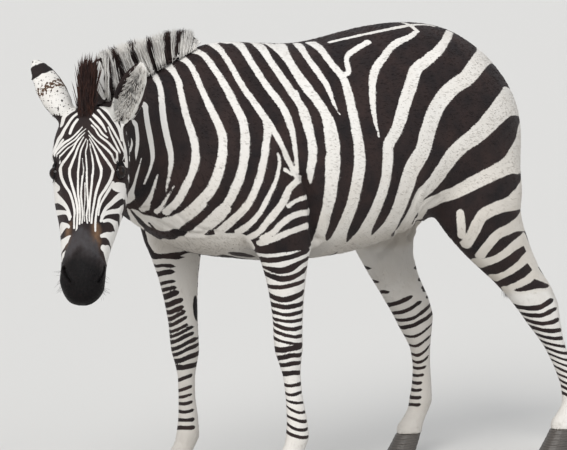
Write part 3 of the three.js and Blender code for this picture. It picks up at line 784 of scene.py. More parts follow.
HEAD_SOFTNESS, BODY_SOFTNESS = 1.2, 1.3  # how much wider than their spreads the forms are


def sculpt_head(points, normals):
    """Raises and sinks the head's soft forms."""
    along, left, face = (c * 1000 for c in head_coords(points))
    amount = np.zeros(len(points))
    for (a, l, f), (sa, sl, sf), much in HEAD_FORMS.values():
        sa, sl, sf = (spread * HEAD_SOFTNESS for spread in (sa, sl, sf))
        amount += much * bell(along - a, sa) * bell(np.abs(left) - l, sl) * bell(face - f, sf)
    return points + normals * (amount / 1000)[:, None]


MID_TRUNK, FAR_FORE_SHIFT, FAR_HIND_SHIFT = 400, 40, 60  # mm: the far legs stand this much further ahead


def sculpt_body(points, normals):
    """Raises and sinks the body's soft forms."""
    place = (points - DESIGN_SHIFT) * 1000
    amount = np.zeros(len(points))
    for (x, y, z), (sx, sy, sz), much, side in BODY_FORMS.values():
        sx, sy, sz = (spread * BODY_SOFTNESS for spread in (sx, sy, sz))
        high = bell(place[:, 2] - z, sz)
        sideways_off = place[:, 0] - side * x if side else np.abs(place[:, 0]) - x
        amount += much * bell(place[:, 1] - y, sy) * high * bell(sideways_off, sx)
        if side > 0:  # the far side has it too, at its own leg's place
            shift = FAR_FORE_SHIFT if y < MID_TRUNK else FAR_HIND_SHIFT
            amount += much * bell(place[:, 1] - y + shift, sy) * high * bell(place[:, 0] + x, sx)
    return points + normals * (amount / 1000)[:, None]


def line_distance(points, line, step=.003):
    """Distance to a smooth line through points."""
    rows = smooth_path(np.column_stack([line, np.zeros(len(line))]), step)
    return band_distance(points, rows)


def pressed(points, normals, line, width, depth, within=None):
    """A groove along a line, with its sides slightly raised."""
    rows = np.arange(len(points)) if within is None else np.nonzero(within)[0]
    d = line_distance(points[rows], line)
    profile = bell(d, width) - .28 * bell(d - 2.2 * width, width)
    points[rows] -= normals[rows] * (profile * depth)[:, None]


def tree_of(verts, tris):
    """A search tree over the surface as it now is."""
    obj = link("work", mesh_from("work", verts, tris))
    bpy.context.view_layer.update()
    tree = BVHTree.FromObject(obj, bpy.context.evaluated_depsgraph_get())
    bpy.data.objects.remove(obj)
    return tree


def head_line(rows, side):
    return np.array([head_point(a, side * l, f) for a, l, f in rows])


# An eye: the ball is the solid's; the lids open along the head in an almond round it
EYE_HALF_LENGTH, EYE_HALF_HEIGHT = .0180, .0132
LID_RISE = .0026
EYES = {}
for side_name, side in (("left", 1), ("right", -1)):
    low, high = (np.array(c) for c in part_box("eye_" + side_name))
    outward = unit(HEAD_LEFT * side * .76 + HEAD_FACE * .65)
    length_way = unit(HEAD_ALONG * .96 + HEAD_FACE * -.20)
    length_way = unit(length_way - outward * (length_way @ outward))
    EYES[side_name] = ((low + high) / 2, float((high - low).mean() / 2), outward, length_way,
                       np.cross(outward, length_way) * -side)


def open_lids(points):
    """Opens the lids in front of each ball, tucks the skin behind their rims and creases the upper lid."""
    for centre, radius, outward, lengthways, upward in EYES.values():
        off = points - centre
        r = np.linalg.norm(off, axis=1)
        near = np.nonzero((r < radius * 2.6) & (off @ outward > -.2 * radius))[0]
        off, r = off[near], r[near]
        way = off / r[:, None]
        u, w = way @ lengthways * radius, way @ upward * radius
        a = np.sqrt((u / EYE_HALF_LENGTH) ** 2 + (w / EYE_HALF_HEIGHT) ** 2)
        facing = smooth01(way @ outward, 0, .45)
        tucked = radius * .86
        rim = radius + LID_RISE * (1 + .35 * smooth01(w, 0, .012))
        target = np.where(a < 1, tucked, tucked + (rim - tucked) * smooth01(a, 1.0, 1.13))
        share = (1 - smooth01(a, 1.25, 2.1)) * facing
        new = r + (target - r) * share
        crease = bell(a - 1.75, .16) * .0016 * facing * smooth01(w, -.002, .008)
        points[near] = centre + way * (new - crease)[:, None]
    return points


INTO_HOOF = .0715  # the height at which the skin ends, inside the hooves
DRAWN_BELOW = .10  # the skin is drawn to it from this height down
lowest = skin_v[:, 2].min()
skin_v[:, 2] -= (lowest - INTO_HOOF) * (1 - smooth01(skin_v[:, 2], lowest, DRAWN_BELOW))
skin_v, skin_t = finer_head(skin_v, skin_t)
skin_n = normals_of(skin_v, skin_t)
head_w, ear_w, leg_w = headness(skin_v), earness(skin_v), legness(skin_v)
depth = BODY_DEPTH + (LEG_DEPTH - BODY_DEPTH) * leg_w + (HEAD_DEPTH - BODY_DEPTH) * head_w
depth += (EAR_DEPTH - depth) * ear_w
skin_v -= skin_n * depth[:, None]
on_head = head_w > .02
skin_v[on_head] = sculpt_head(skin_v[on_head], skin_n[on_head])
skin_v[~on_head] = sculpt_body(skin_v[~on_head], skin_n[~on_head])
skin_n = normals_of(skin_v, skin_t)
probe_tree = tree_of(skin_v, skin_t)
for (left, top, zoom), folds in FOLDS.items():
    for _, line, width, fold_depth in folds:
        pixels = smooth_path(np.array([(left + x / zoom, top + y / zoom) for x, y in line]), 4)
        fold = np.array([cast(x, y, probe_tree)[0] for x, y in pixels])
        pressed(skin_v, skin_n, fold, width / 1000, fold_depth / 1000, ~on_head)
nostril_lines = [np.array([cast(x, y, probe_tree)[0] for x, y in line]) for line in NOSTRILS]
for line in nostril_lines:
    rows = smooth_path(np.column_stack([line, NOSTRIL_WIDTHS]), .002)
    spots = np.nonzero(on_head)[0]
    d = band_distance(skin_v[spots], rows)
    inward = unit(-HEAD_FACE * .75 - HEAD_ALONG * .15)
    skin_v[spots] += inward * (NOSTRIL_DEPTH * (1 - smooth01(d, -.0035, .0022)))[:, None]
    skin_v[spots] += skin_n[spots] * (.0016 * bell(d - .005, .0035))[:, None]
for side in (-1, 1):
    pressed(skin_v, skin_n, head_line(MOUTH, side), .0028, .0042, on_head)
head_edges, _ = edges_of(skin_t)
lids = np.zeros(len(skin_v))
for centre, radius, *_ in EYES.values():
    lids = np.maximum(lids, 1 - smooth01(np.linalg.norm(skin_v - centre, axis=1), radius * 2.0, radius * 2.8))
skin_v = relax(skin_v, head_edges, head_w * (1 - lids) * (1 - ear_w), 2)
skin_v = open_lids(skin_v)
skin_n = normals_of(skin_v, skin_t)
probe_tree = tree_of(skin_v, skin_t)


def hollow_shade_mask(points):
    """1 inside the nostrils and along the mouth, where painted shade darkens the hollows."""
    out = np.zeros(len(points))
    rows = np.nonzero(headness(points) > .5)[0]
    for line in nostril_lines:
        d = band_distance(points[rows], smooth_path(np.column_stack([line, NOSTRIL_WIDTHS]), .002))
        out[rows] = np.maximum(out[rows], 1 - smooth01(d, -.0035, .001))
    for side in (-1, 1):
        d = line_distance(points[rows], head_line(MOUTH, side))
        out[rows] = np.maximum(out[rows], 1 - smooth01(d, .0005, .0022))
    return out


# ---------------- markings over the whole animal
# The neck's centre line and its turn to the left in degrees, in the withers' frame
NECK_LINE = [(.000, .045, 1.02, 0), (.003, -.115, 1.03, 2), (.009, -.20, 1.03, 9), (.034, -.27, 1.03, 19),
             (.076, -.34, 1.03, 30), (.128, -.41, 1.03, 39), (.175, -.47, 1.03, 45)]
TRUNK_FRONT = -.276 - .03  # where the neck's line takes over


def neck_table():
    rows = smooth_path(np.array(NECK_LINE), .01)
    centre = rows[:, :3] + DESIGN_SHIFT
    turn = np.radians(rows[:, 3])
    return centre[:, :2], np.stack([np.cos(turn), np.sin(turn)], 1)


NECK_CENTRE, NECK_LEFT = neck_table()


def sideways(points):
    """How far each point is to the left of the middle, and the left direction there."""
    flat = points[:, :2]
    out = points[:, 0] - MID_X
    way = np.tile([1.0, 0.0], (len(points), 1))
    ahead = np.nonzero(points[:, 1] < TRUNK_FRONT)[0]
    for i in range(0, len(ahead), 20000):
        rows = ahead[i:i + 20000]
        nearest = ((flat[rows, None] - NECK_CENTRE) ** 2).sum(2)
        along = np.abs(np.einsum("ijk,jk->ij", flat[rows, None] - NECK_CENTRE,
                                 np.stack([-NECK_LEFT[:, 1], NECK_LEFT[:, 0]], 1)))
        pick = (along + nearest).argmin(1)
        way[rows] = NECK_LEFT[pick]
        out[rows] = ((flat[rows] - NECK_CENTRE[pick]) * NECK_LEFT[pick]).sum(1)
    return out, way


def wobble(points, size, seed):
    """A soft random field between -1 and 1."""
    state = np.random.default_rng(seed)
    total = np.zeros(len(points))
    for _ in range(6):
        way = unit(state.normal(size=3)) * (2 * np.pi / size) * state.uniform(.7, 1.4)
        total += np.sin(points @ way + state.uniform(0, 6.3))
    return total / 3.5


def mirrored(points, out, way):
    """The place on the near side that matches a place on the far side."""
    flipped = points.copy()
    flipped[:, :2] -= 2 * out[:, None] * way
    for far, near in (("fore_right", "fore_left"), ("hind_right", "hind_left")):
        axis_far, axis_near = leg_axis(far, points[:, 2]), leg_axis(near, points[:, 2])
        weight = (1 - smooth01(np.linalg.norm(points[:, :2] - axis_far, axis=1), .12, .26))
        weight *= 1 - smooth01(points[:, 2], .75, 1.05)
        flipped[:, 1] += weight * (axis_near[:, 1] - axis_far[:, 1])
    drift = np.stack([wobble(points, .55, 5), wobble(points, .5, 6), wobble(points, .6, 7)], 1)
    return flipped + drift * .016


# Dark rings of the legs: pixel rows of the view at the leg's left edge, middle and right edge, half
# width, and how far across its inner side a ring runs (-1 its left edge, 1 its right one)
FORE_NEAR_RINGS = [
    (285, 296, 205, 13, -.4), (345, 358, 268, 13, -.4), (398, 428, 335, 15, -.3),
    (450, 482, 425, 13, -.3), (535, 530, 500, 9, -.2), (590, 606, 568, 13, -.2), (645, 655, 640, 11, -.2),
    (690, 706, 690, 9, -.2), (735, 750, 745, 8, -.2), (768, 798, 795, 9, -.2), (808, 842, 850, 8, -.1),
    (855, 888, 900, 7, -.1), (925, 928, 905, 14, 0), (985, 975, 965, 11, 0), (1030, 1026, 1020, 10, 0),
    (1085, 1085, 1085, 11, .1), (1150, 1160, 1150, 8, .1), (1205, 1215, 1200, 7, .1),
    (1250, 1265, 1270, 6, .1), (1290, 1320, 1330, 6, .1), (1350, 1370, 1385, 7, .1),
    (1400, 1425, 1430, 7, .1), (1450, 1470, 1480, 8, .1),
]
FORE_FAR_RINGS = [
    (285, 300, 310, 8, -.2), (345, 350, 352, 8, .2), (400, 405, 408, 8, .2), (455, 440, 430, 12, .15),
    (520, 500, 480, 9, .15), (560, 540, 520, 8, .15), (605, 570, 540, 12, .25), (655, 620, 590, 12, .45),
    (700, 665, 630, 11, .45), (745, 700, 660, 10, .55), (782, 740, 700, 9, .65), (820, 785, 750, 8, .65),
    (850, 815, 780, 8, 1), (885, 850, 820, 9, 1), (930, 895, 860, 10, 1.2), (970, 935, 900, 9, 1.3),
    (1010, 985, 960, 12, 1.7), (1050, 1040, 1030, 12, 1.7), (1130, 1105, 1090, 9, .95),
    (1195, 1175, 1160, 8, .95), (1240, 1225, 1210, 7, .95), (1280, 1270, 1260, 7, .95),
    (1330, 1320, 1310, 7, .95), (1380, 1370, 1365, 8, .95), (1430, 1420, 1415, 9, .95),
]
HIND_NEAR_RINGS = [
    (690, 700, 640, 12, .3), (735, 745, 700, 10, .4), (775, 795, 775, 10, .5), (815, 840, 840, 10, .5),
    (855, 885, 890, 9, .5), (895, 930, 940, 8, .3), (935, 970, 985, 8, .2), (975, 1010, 1030, 7, .2),
    (1015, 1050, 1070, 7, .2), (1055, 1090, 1110, 7, .2), (1100, 1130, 1150, 7, .2),
    (1140, 1170, 1185, 8, .2), (1180, 1205, 1220, 8, .2), (1220, 1245, 1260, 9, .2),
]
HIND_FAR_RINGS = [
    (455, 465, 470, 9, -.5), (540, 545, 540, 9, -.45), (610, 600, 590, 9, -.3), (690, 650, 600, 9, .6),
    (735, 705, 640, 8, .9), (772, 760, 690, 8, 1.2), (820, 800, 740, 10, 1.2), (872, 868, 800, 7, 1.2),
    (935, 925, 870, 7, 1.2), (990, 980, 930, 7, 1.2), (1030, 1025, 985, 7, 1.1),
    (1070, 1065, 1040, 7, .8), (1115, 1110, 1090, 7, .5), (1160, 1155, 1140, 7, .3),
    (1200, 1195, 1190, 7, .3), (1245, 1240, 1235, 8, .3), (1290, 1285, 1280, 8, .3),
]
RING_TABLES = {
    "fore_left": (FORELEG_VIEW, FORE_NEAR_RINGS), "fore_right": (FORELEG_VIEW, FORE_FAR_RINGS),
    "hind_left": (THIGH_VIEW, HIND_NEAR_RINGS), "hind_right": (THIGH_VIEW, HIND_FAR_RINGS),
}
RING_FULLNESS = 1.4  # how much wider the rings are laid than drawn
# The height at which each leg's rings give way to the body's stripes
RING_TOP = {"fore_left": .705, "fore_right": .690, "hind_left": .500, "hind_right": .640}
FLAT_RIGHT = unit(CAM_RIGHT * [1, 1, 0])
TO_CAMERA = -unit(CAM_AHEAD * [1, 1, 0])
LEVELS = np.linspace(.086, .80, 72)


class LegFrame:
    """A leg's own measures: across the view from -1 to 1, towards the camera, and its rings' heights."""

    def __init__(self, leg):
        self.leg = leg
        across, near = [], []
        for z in LEVELS:
            ring = skin_v[np.abs(skin_v[:, 2] - z) < .006]
            off = ring[:, :2] - leg_axis(leg, z)
            ring = off[np.linalg.norm(off, axis=1) < .13]
            a, b = ring @ FLAT_RIGHT[:2], ring @ TO_CAMERA[:2]
            across.append((a.min(), a.max()))
            near.append((b.min(), b.max()))
        self.across, self.near = np.array(across), np.array(near)
        view, rows = RING_TABLES[leg]
        _, top, zoom = view
        self.rings = []
        for left_y, middle_y, right_y, half, reach in rows:
            places = ((-1, left_y), (0, middle_y), (1, right_y))
            heights = [self.height_at(n, top + y / zoom) for n, y in places]
            self.rings.append((*heights, half * RING_FULLNESS / zoom / EXPECTED_SCALE, reach))

    def height_at(self, n, row):
        """The level where the leg's line at n across crosses a pixel row."""
        axis = leg_axis(self.leg, LEVELS)
        middle = self.across.mean(1) + n * np.ptp(self.across, axis=1) / 2
        line = np.column_stack([axis + middle[:, None] * FLAT_RIGHT[:2], LEVELS])
        return np.interp(-row, -pixel_of(line)[1], LEVELS)

    def coords(self, points):
        off = points[:, :2] - leg_axis(self.leg, points[:, 2])
        out = []
        for way, table in ((FLAT_RIGHT, self.across), (TO_CAMERA, self.near)):
            low, high = (np.interp(points[:, 2], LEVELS, table[:, k]) for k in (0, 1))
            out.append((off @ way[:2] - (low + high) / 2) / np.maximum((high - low) / 2, .02))
        return out

    def distance(self, points, inner_faces_camera):
        """Signed distance outside the dark rings: positive in the dark."""
        n, toward = self.coords(points)
        inner = smooth01(toward if inner_faces_camera else -toward, -.25, .35)
        dark = np.full(len(points), -.03)
        sway = wobble(points, .09, 31) * .0022 + wobble(points, .03, 32) * .0009
        for left, middle, right, half, reach in self.rings:
            level = middle + (right - left) / 2 * n + ((right + left) / 2 - middle) * n * n
            run_out = 1 - inner * smooth01(n, reach - .45, reach + .05)
            dark = np.maximum(dark, half * 2.2 * run_out - half * 1.2 - np.abs(points[:, 2] + sway - level))
        return dark, inner


leg_frames = {leg: LegFrame(leg) for leg in LEGS}


def leg_field(points):
    """The rings' field, how much each point belongs to a leg's ringed part, and to a leg's inner side."""
    field, mine, inner_side = np.zeros(len(points)), np.zeros(len(points)), np.zeros(len(points))
    for leg, own in leg_frames.items():
        away = np.linalg.norm(points[:, :2] - leg_axis(leg, points[:, 2]), axis=1)
        near = np.nonzero((away < .20) & (points[:, 2] < .90))[0]
        p = points[near]
        right = leg.endswith("right")
        dark, inner = own.distance(p, right)
        weight = (1 - smooth01(p[:, 2], RING_TOP[leg] - .012, RING_TOP[leg] + .012))
        weight = weight * (1 - smooth01(away[near], .14, .17))
        inward = (p[:, 0] - leg_axis(leg, p[:, 2])[:, 0]) * (1 if right else -1)
        side = smooth01(inward, -.005, .035) * (1 - smooth01(p[:, 2], .70, .86))
        side *= 1 - smooth01(away[near], .10, .15)
        better = weight >= mine[near]
        field[near[better]] = dark[better]
        mine[near] = np.maximum(mine[near], weight)
        inner_side[near] = np.maximum(inner_side[near], np.maximum(side, inner * weight))
    return field, mine, inner_side


SPINE_HALF = .011
STRIPE_SPREAD = .09  # how far from the middle the two sides' patterns are blended on the neck


def markings(points, normals):
    """Signed distance to the stripes' edges: below zero is white, above is dark."""
    out, way = sideways(points)
    near = band_distance(points, body_samples)
    far_rows = np.nonzero(out < .02)[0]
    far = near.copy()
    flipped = mirrored(points[far_rows], out[far_rows], way[far_rows])
    far[far_rows] = band_distance(flipped, body_samples)
    on_neck = 1 - smooth01(points[:, 1], -.42, -.30)
    share = smooth01(-out, -.005 + on_neck * .02, .005 + on_neck * STRIPE_SPREAD)
    field = near * (1 - share) + far * share
    spine = smooth01(normals[:, 2], .5, .8) * smooth01(points[:, 1], -.20, -.10)
    spine *= smooth01(points[:, 2], .9, 1.0)
    field = np.maximum(field, (SPINE_HALF - np.abs(out)) * spine - .05 * (1 - spine))
    field = np.maximum(field, -band_distance(points, dark_samples))
    # below, the bands run out towards a dark middle line
    under = smooth01(-normals[:, 2], .60, .98) * smooth01(-points[:, 2], -.80, -.72)
    field = field - .016 * under
    line = under * smooth01(points[:, 1], -.25, -.15) * (1 - smooth01(points[:, 1], .30, .45))
    field = np.maximum(field, (.009 - np.abs(out)) * line - .05 * (1 - line))
    rings, mine, inner = leg_field(points)
    plain = inner * (1 - mine)
    field = field * (1 - plain) - .03 * plain
    field = field * (1 - mine) + rings * mine
    return field, dict(inner=inner, under=under, legs=mine)


body_samples, dark_samples, face_samples = laid(BODY_WHITES), laid(BODY_DARKS), laid(FACE_WHITES, step=1.2)
face_samples[:, 3] *= FACE_FULLNESS


# ---------------- the head's and ears' own markings
# An ear: its base and tip on the head (along, left, face) and the way that it opens
EARS = {
    "left": ((.026, .080, -.048), (-.125, .141, -.008), (.85, -.5, 0)),
    "right": ((.012, -.067, -.044), (-.147, -.162, -.020), (-1, .1, .1)),
}
# Its half width at shares of its length
EAR_HALF = [(-.1, .024), (.05, .031), (.2, .038), (.38, .042), (.56, .041), (.72, .036), (.86, .026),
            (.95, .015), (1, .007)]
# As shares of the ear's length, where its back's dark band and its flecks start and end
EAR_BAND, EAR_FLECKS = (.69, .875), (.36, .56)


def ear_frames():
    out = {}
    for name, (base, tip, opening) in EARS.items():
        base, tip = head_point(*base), head_point(*tip)
        axis = unit(tip - base)
        opens = unit(np.array(opening) - axis * (axis @ np.array(opening)))
        out[name] = (base, axis, opens, np.cross(axis, opens), float(np.linalg.norm(tip - base)))
    return out


EAR_FRAMES = ear_frames()


def ear_coords(points):
    """For the nearer ear: share of its length, place across it from -1 to 1, and depth along its opening."""
    best = np.full(len(points), 1e9)
    share, across, depth_in = (np.zeros(len(points)) for _ in range(3))
    opens_way = np.zeros_like(points)
    for base, axis, opens, side, length in EAR_FRAMES.values():
        off = points - base
        t = off @ axis / length
        away = np.linalg.norm(off - np.clip(t, 0, 1)[:, None] * axis * length, axis=1)
        pick = away < best
        best[pick] = away[pick]
        half = np.interp(t, *np.array(EAR_HALF).T)
        share[pick], across[pick], depth_in[pick] = t[pick], (off @ side / half)[pick], (off @ opens)[pick]
        opens_way[pick] = opens
    return share, across, depth_in, opens_way


def side_strokes():
    """White bands of the cheeks and jaws out of the camera's sight, in the head's side view, both sides."""
    bands = [  # along and face of the points, in mm, and the half widths
        ([(212, -62), (225, -110), (222, -165), (205, -225)], (5, 9, 12, 10)),
        ([(250, -58), (272, -100), (280, -150), (268, -205)], (5, 8, 11, 9)),
        ([(292, -58), (312, -92), (322, -130), (312, -180)], (6, 9, 10, 7)),
        ([(338, -52), (352, -85), (362, -118), (358, -150)], (7, 9, 9, 5)),
        ([(378, -62), (388, -90), (394, -118)], (6, 7, 5)),
        ([(172, -78), (168, -120), (158, -175), (140, -225)], (6, 8, 12, 10)),
        ([(128, -52), (118, -100), (104, -150), (88, -190)], (5, 8, 11, 9)),
        ([(92, -42), (78, -85), (62, -125), (48, -150)], (5, 8, 9, 7)),
        ([(58, -50), (46, -85), (34, -110)], (5, 7, 5)),
    ]
    rows = []
    for side in (-1, 1):
        for line, half in bands:
            points = []
            for (a, f), h in zip(line, half):
                start = Vector(head_point(a / 1000, side * .25, f / 1000))
                hit = probe_tree.ray_cast(start, Vector(-HEAD_LEFT * side))[0]
                if hit is not None:
                    points.append((*hit, h / 1000))
            if len(points) > 1:
                rows.append(dense(smooth_path(np.array(points), .008)))
    return np.concatenate(rows)


cheek_samples = side_strokes()
MUZZLE_START, NOSE_START = .382, .335
# Half width of the nose's grey front, between the side bands, down the face
NOSE_HALF = [(.30, .020), (.34, .029), (.38, .036), (.41, .044), (.435, .060), (.455, .10)]


def head_markings(points, normals, field, zones):
    """Lays the face, the muzzle and the ears over the field; the zones are where grey, brown and warm hair,
    bare skin, the ears' inner hair (painted greyer for the shade in their cups) and painted shade in hollows
    lie."""
    weight = face_share(points)
    rows = np.nonzero(weight > .02)[0]
    p = points[rows]
    along, left, face = head_coords(p)
    front = band_distance(p, face_samples)
    cheek = band_distance(p, cheek_samples)
    forward = smooth01(face, -.085, -.045)
    seen = smooth01(normals[rows] @ -CAM_AHEAD, .12, .32)
    on_face = np.maximum(forward, seen)
    own = np.where(on_face > .12, front, np.minimum(front, cheek))
    # the jaw's underside and the throat between the jaws are plain
    beneath = smooth01(-(normals[rows] @ HEAD_FACE), .55, .85) * smooth01(-face, .10, .15)
    own = own - .02 * beneath
    mottle = wobble(p, .035, 41) * .5 + wobble(p, .014, 42) * .35
    tip = along + mottle * .012 - np.abs(left) * .5
    muzzle = smooth01(tip, MUZZLE_START, MUZZLE_START + .05)
    grey = smooth01(tip + .012 * (1 - smooth01(np.abs(left), .01, .05)), NOSE_START, NOSE_START + .035)
    nose_half = np.interp(along, *np.array(NOSE_HALF).T) + mottle * .004
    grey *= 1 - smooth01(np.abs(left), nose_half, nose_half + .010)
    brown = smooth01(tip, .295, .318) * (1 - smooth01(tip, .350, .385)) * smooth01(np.abs(left), .018, .040)
    brown *= 1 - smooth01(np.abs(left), .040, .054)
    brown *= smooth01(face, -.11, -.05)
    lids = np.zeros(len(p))
    under_eye = np.zeros(len(p))
    for centre, radius, outward, lengthways, upward in EYES.values():
        off = p - centre
        r = np.linalg.norm(off, axis=1)
        u, w = off @ lengthways, off @ upward
        a = np.sqrt((u / EYE_HALF_LENGTH) ** 2 + (w / EYE_HALF_HEIGHT) ** 2)
        facing = smooth01(off @ outward / np.maximum(r, 1e-6), 0, .3)
        ring = 1.30 + .35 * (1 - smooth01(w, -.006, .006))
        lids = np.maximum(lids, (1 - smooth01(a, ring - .12, ring + .12)) * facing * (r < .05))
        patch = np.sqrt(((u - .024) / .017) ** 2 + ((w + .003) / .016) ** 2)
        under_eye = np.maximum(under_eye, (1 - smooth01(patch, .85, 1.1)) * facing * (r < .06))
    # the muzzle, the grey nose, the lids and the patch under each eye count as dark
    own = np.maximum(own, np.maximum(muzzle, grey * .9) * .03 - .015)
    own = np.maximum(own, np.maximum(lids, under_eye) * .02 - .010)
    blend = smooth01(weight[rows], .25, .6)
    field[rows] = field[rows] * (1 - blend) + own * blend
    zones["grey"][rows] = grey * (1 - muzzle) * (1 - muzzle * .5)
    zones["brown"][rows] = brown * (1 - muzzle)
    zones["bare"][rows] = np.maximum(muzzle, lids)
    zones["warm"][rows] = np.maximum(under_eye * .5, zones["warm"][rows])
    # ears
    ears = earness(points)
    rows = np.nonzero(ears > .05)[0]
    p = points[rows]
    share, across, depth_in, opens = ear_coords(p)
    inside = smooth01(np.einsum("ij,ij->i", normals[rows], opens), -.05, .25)
    edge = share + wobble(p, .02, 51) * .008
    back = np.maximum(-.02, np.minimum(edge - EAR_BAND[0], EAR_BAND[1] - edge) * .18)
    fleck = wobble(p, .009, 52) + wobble(p, .0045, 53) * .9 - .85
    low, high = EAR_FLECKS
    fleck_zone = smooth01(share, low, low + .06) * (1 - smooth01(share, high - .05, high))
    back = np.maximum(back, (fleck + fleck_zone) * .006)
    rim = np.abs(across) + wobble(p, .03, 54) * .03
    rim_dark = np.minimum(rim - .80 + .30 * smooth01(-across, 0, .4), .97 - share) * .05
    rim_dark = np.where(share > .16 + .14 * (across < 0), rim_dark, -.01)
    streak = (wobble(p @ np.diag([1, 1, .3]), .016, 55) + wobble(p, .009, 56) * .6 - 1.1) * .006
    # the middle of the ear's cup gets painted shade, near black
    ear_pit_shade = .62 - np.abs(across) + wobble(p, .02, 57) * .3
    ear_pit_shade = smooth01(ear_pit_shade, 0, .45) * (smooth01(share, .20, .45) - smooth01(share, .66, .86))
    inner = np.maximum(rim_dark, streak)
    own = inner * inside + back * (1 - inside)
    own = np.maximum(own, np.minimum(rim_dark - .014 * (1 - inside), .01))
    blend = smooth01(ears[rows], .05, .5)
    field[rows] = field[rows] * (1 - blend) + own * blend
    # the ear's inside: pale hair, painted greyer for the shade in its cup
    zones["ear"][rows] = inside * blend * (1 - smooth01(share, .80, .95))
    zones["deep"][rows] = ear_pit_shade * inside * blend * .82
    zones["warm"][rows] = np.maximum(zones["warm"][rows], fleck_zone * (1 - inside) * blend)
    return field, zones


def all_marks(points, normals):
    """Everything the coat's and the skin's colours are made from, at any points on the surface."""
    field, parts = markings(points, normals)
    zones = {k: np.zeros(len(points)) for k in ("grey", "brown", "bare", "warm", "ear", "tone", "deep")}
    field, zones = head_markings(points, normals, field, zones)
    # Creamier, greyer hair lower on the body, on its underside and on the legs' inner sides is painted shade;
    # the creamier rear and the random wobble are the hair's own tone
    low = smooth01(-points[:, 2], -.50, -.15)
    rump = smooth01(points[:, 1], .1, .6) * .22 + smooth01(-points[:, 2], -1.05, -.75) * .25
    trunk = (1 - headness(points)) * (1 - parts["legs"])
    zones["tone"] = np.clip(.10 + trunk * rump + parts["inner"] * .30 + parts["under"] * .5 + low * .12
                            + wobble(points, .12, 61) * .05, 0, 1)
    zones["shade"] = np.clip(parts["inner"] * .35 + parts["under"] * .55, 0, 1)
    fray = 1 - .45 * parts["legs"] - .72 * headness(points) - .3 * earness(points)
    zones["fray"] = np.clip(fray, .2, 1)
    chest = chestnut_distance(points)
    field = np.maximum(field, -chest)
    zones["bare"] = np.maximum(zones["bare"], smooth01(-chest, -.0005, .0015))
    # painted shade, near black, inside the nostrils and along the mouth
    zones["deep"] = np.maximum(zones["deep"], hollow_shade_mask(points))
    # the tail's root: short dark bars
    at_tail = smooth01(points[:, 1], .735, .752) * smooth01(-np.abs(points[:, 0] - MID_X), -.055, -.035)
    at_tail *= smooth01(points[:, 2], .60, .70)
    bars = (np.sin(points[:, 2] * 2 * np.pi / .030 + np.abs(points[:, 0] - MID_X) * 40) - .25) * .004
    field = field * (1 - at_tail) + bars * at_tail
    return field, zones


MARK_LIMIT = 40  # mm
CHESTNUT_VIEW = (198.3, 308.0)  # on the far foreleg's inner side
CHESTNUT_HALF = (.0135, .036)


def chestnut_distance(points):
    """Signed distance in metres to the callosities on the forelegs' inner sides, negative inside."""
    out = np.full(len(points), .05)
    spot = cast(*CHESTNUT_VIEW, probe_tree)[0]
    for leg in ("fore_right", "fore_left"):
        centre = spot.copy()
        if leg == "fore_left":
            here, there = leg_axis("fore_right", spot[2]), leg_axis("fore_left", spot[2])
            centre[:2] = there + (spot[:2] - here) * [-1, 1]
        off = points - centre
        wide = np.linalg.norm(off[:, :2], axis=1)
        share = np.sqrt((wide / CHESTNUT_HALF[0]) ** 2 + (off[:, 2] / CHESTNUT_HALF[1]) ** 2)
        out = np.minimum(out, (share - 1) * CHESTNUT_HALF[0])
    return out


mark, zones = all_marks(skin_v, skin_n)
mark_mm = np.clip(mark * 1000, -MARK_LIMIT, MARK_LIMIT)


# ---------------- the way the hair lies
def hair_way(points, normals):
    """The direction of the hair on the surface: back and down the body, down the legs and the face."""
    out, way = sideways(points)
    back = np.stack([-way[:, 1], way[:, 0], np.zeros(len(points))], 1)
    ahead = 1 - smooth01(points[:, 1], -.55, -.20)
    down = .30 + .35 * ahead
    lie = back * (1 - .35 * ahead)[:, None] + np.array([0, 0, -1]) * down[:, None]
    legs = np.zeros(len(points))
    for leg in LEGS:
        away = np.linalg.norm(points[:, :2] - leg_axis(leg, points[:, 2]), axis=1)
        legs = np.maximum(legs, (1 - smooth01(away, .10, .20)) * (1 - smooth01(points[:, 2], .60, .95)))
    lie = lie * (1 - legs)[:, None] + np.array([0, .15, -1]) * legs[:, None]
    head = headness(points)
    lie = lie * (1 - head)[:, None] + (HEAD_ALONG - HEAD_FACE * .25) * head[:, None]
    ears = earness(points)
    for base, axis, _, _, length in EAR_FRAMES.values():
        close = (np.linalg.norm(points - base - axis * length / 2, axis=1) < length * .8) * ears
        lie = lie * (1 - close)[:, None] + axis * close[:, None]
    lie -= normals * np.einsum("ij,ij->i", lie, normals)[:, None]
    return unit(lie)


def grain_of(points, normals):
    """The place with the hair's direction squeezed, so that fine noise in it streaks along the hair."""
    lie = hair_way(points, normals)
    return points - lie * (np.einsum("ij,ij->i", points - [0, 0, .8], lie) * .90)[:, None]


# ---------------- locks of hair as closed tapered blades
BLADE_CORNERS = [math.radians(angle) for angle in (0, 120, 240)]
LONG_LEVELS, FINE_LEVELS = (0, .3, .6, .85), (0, .4, .75)  # shares of the length that have a ring of corners


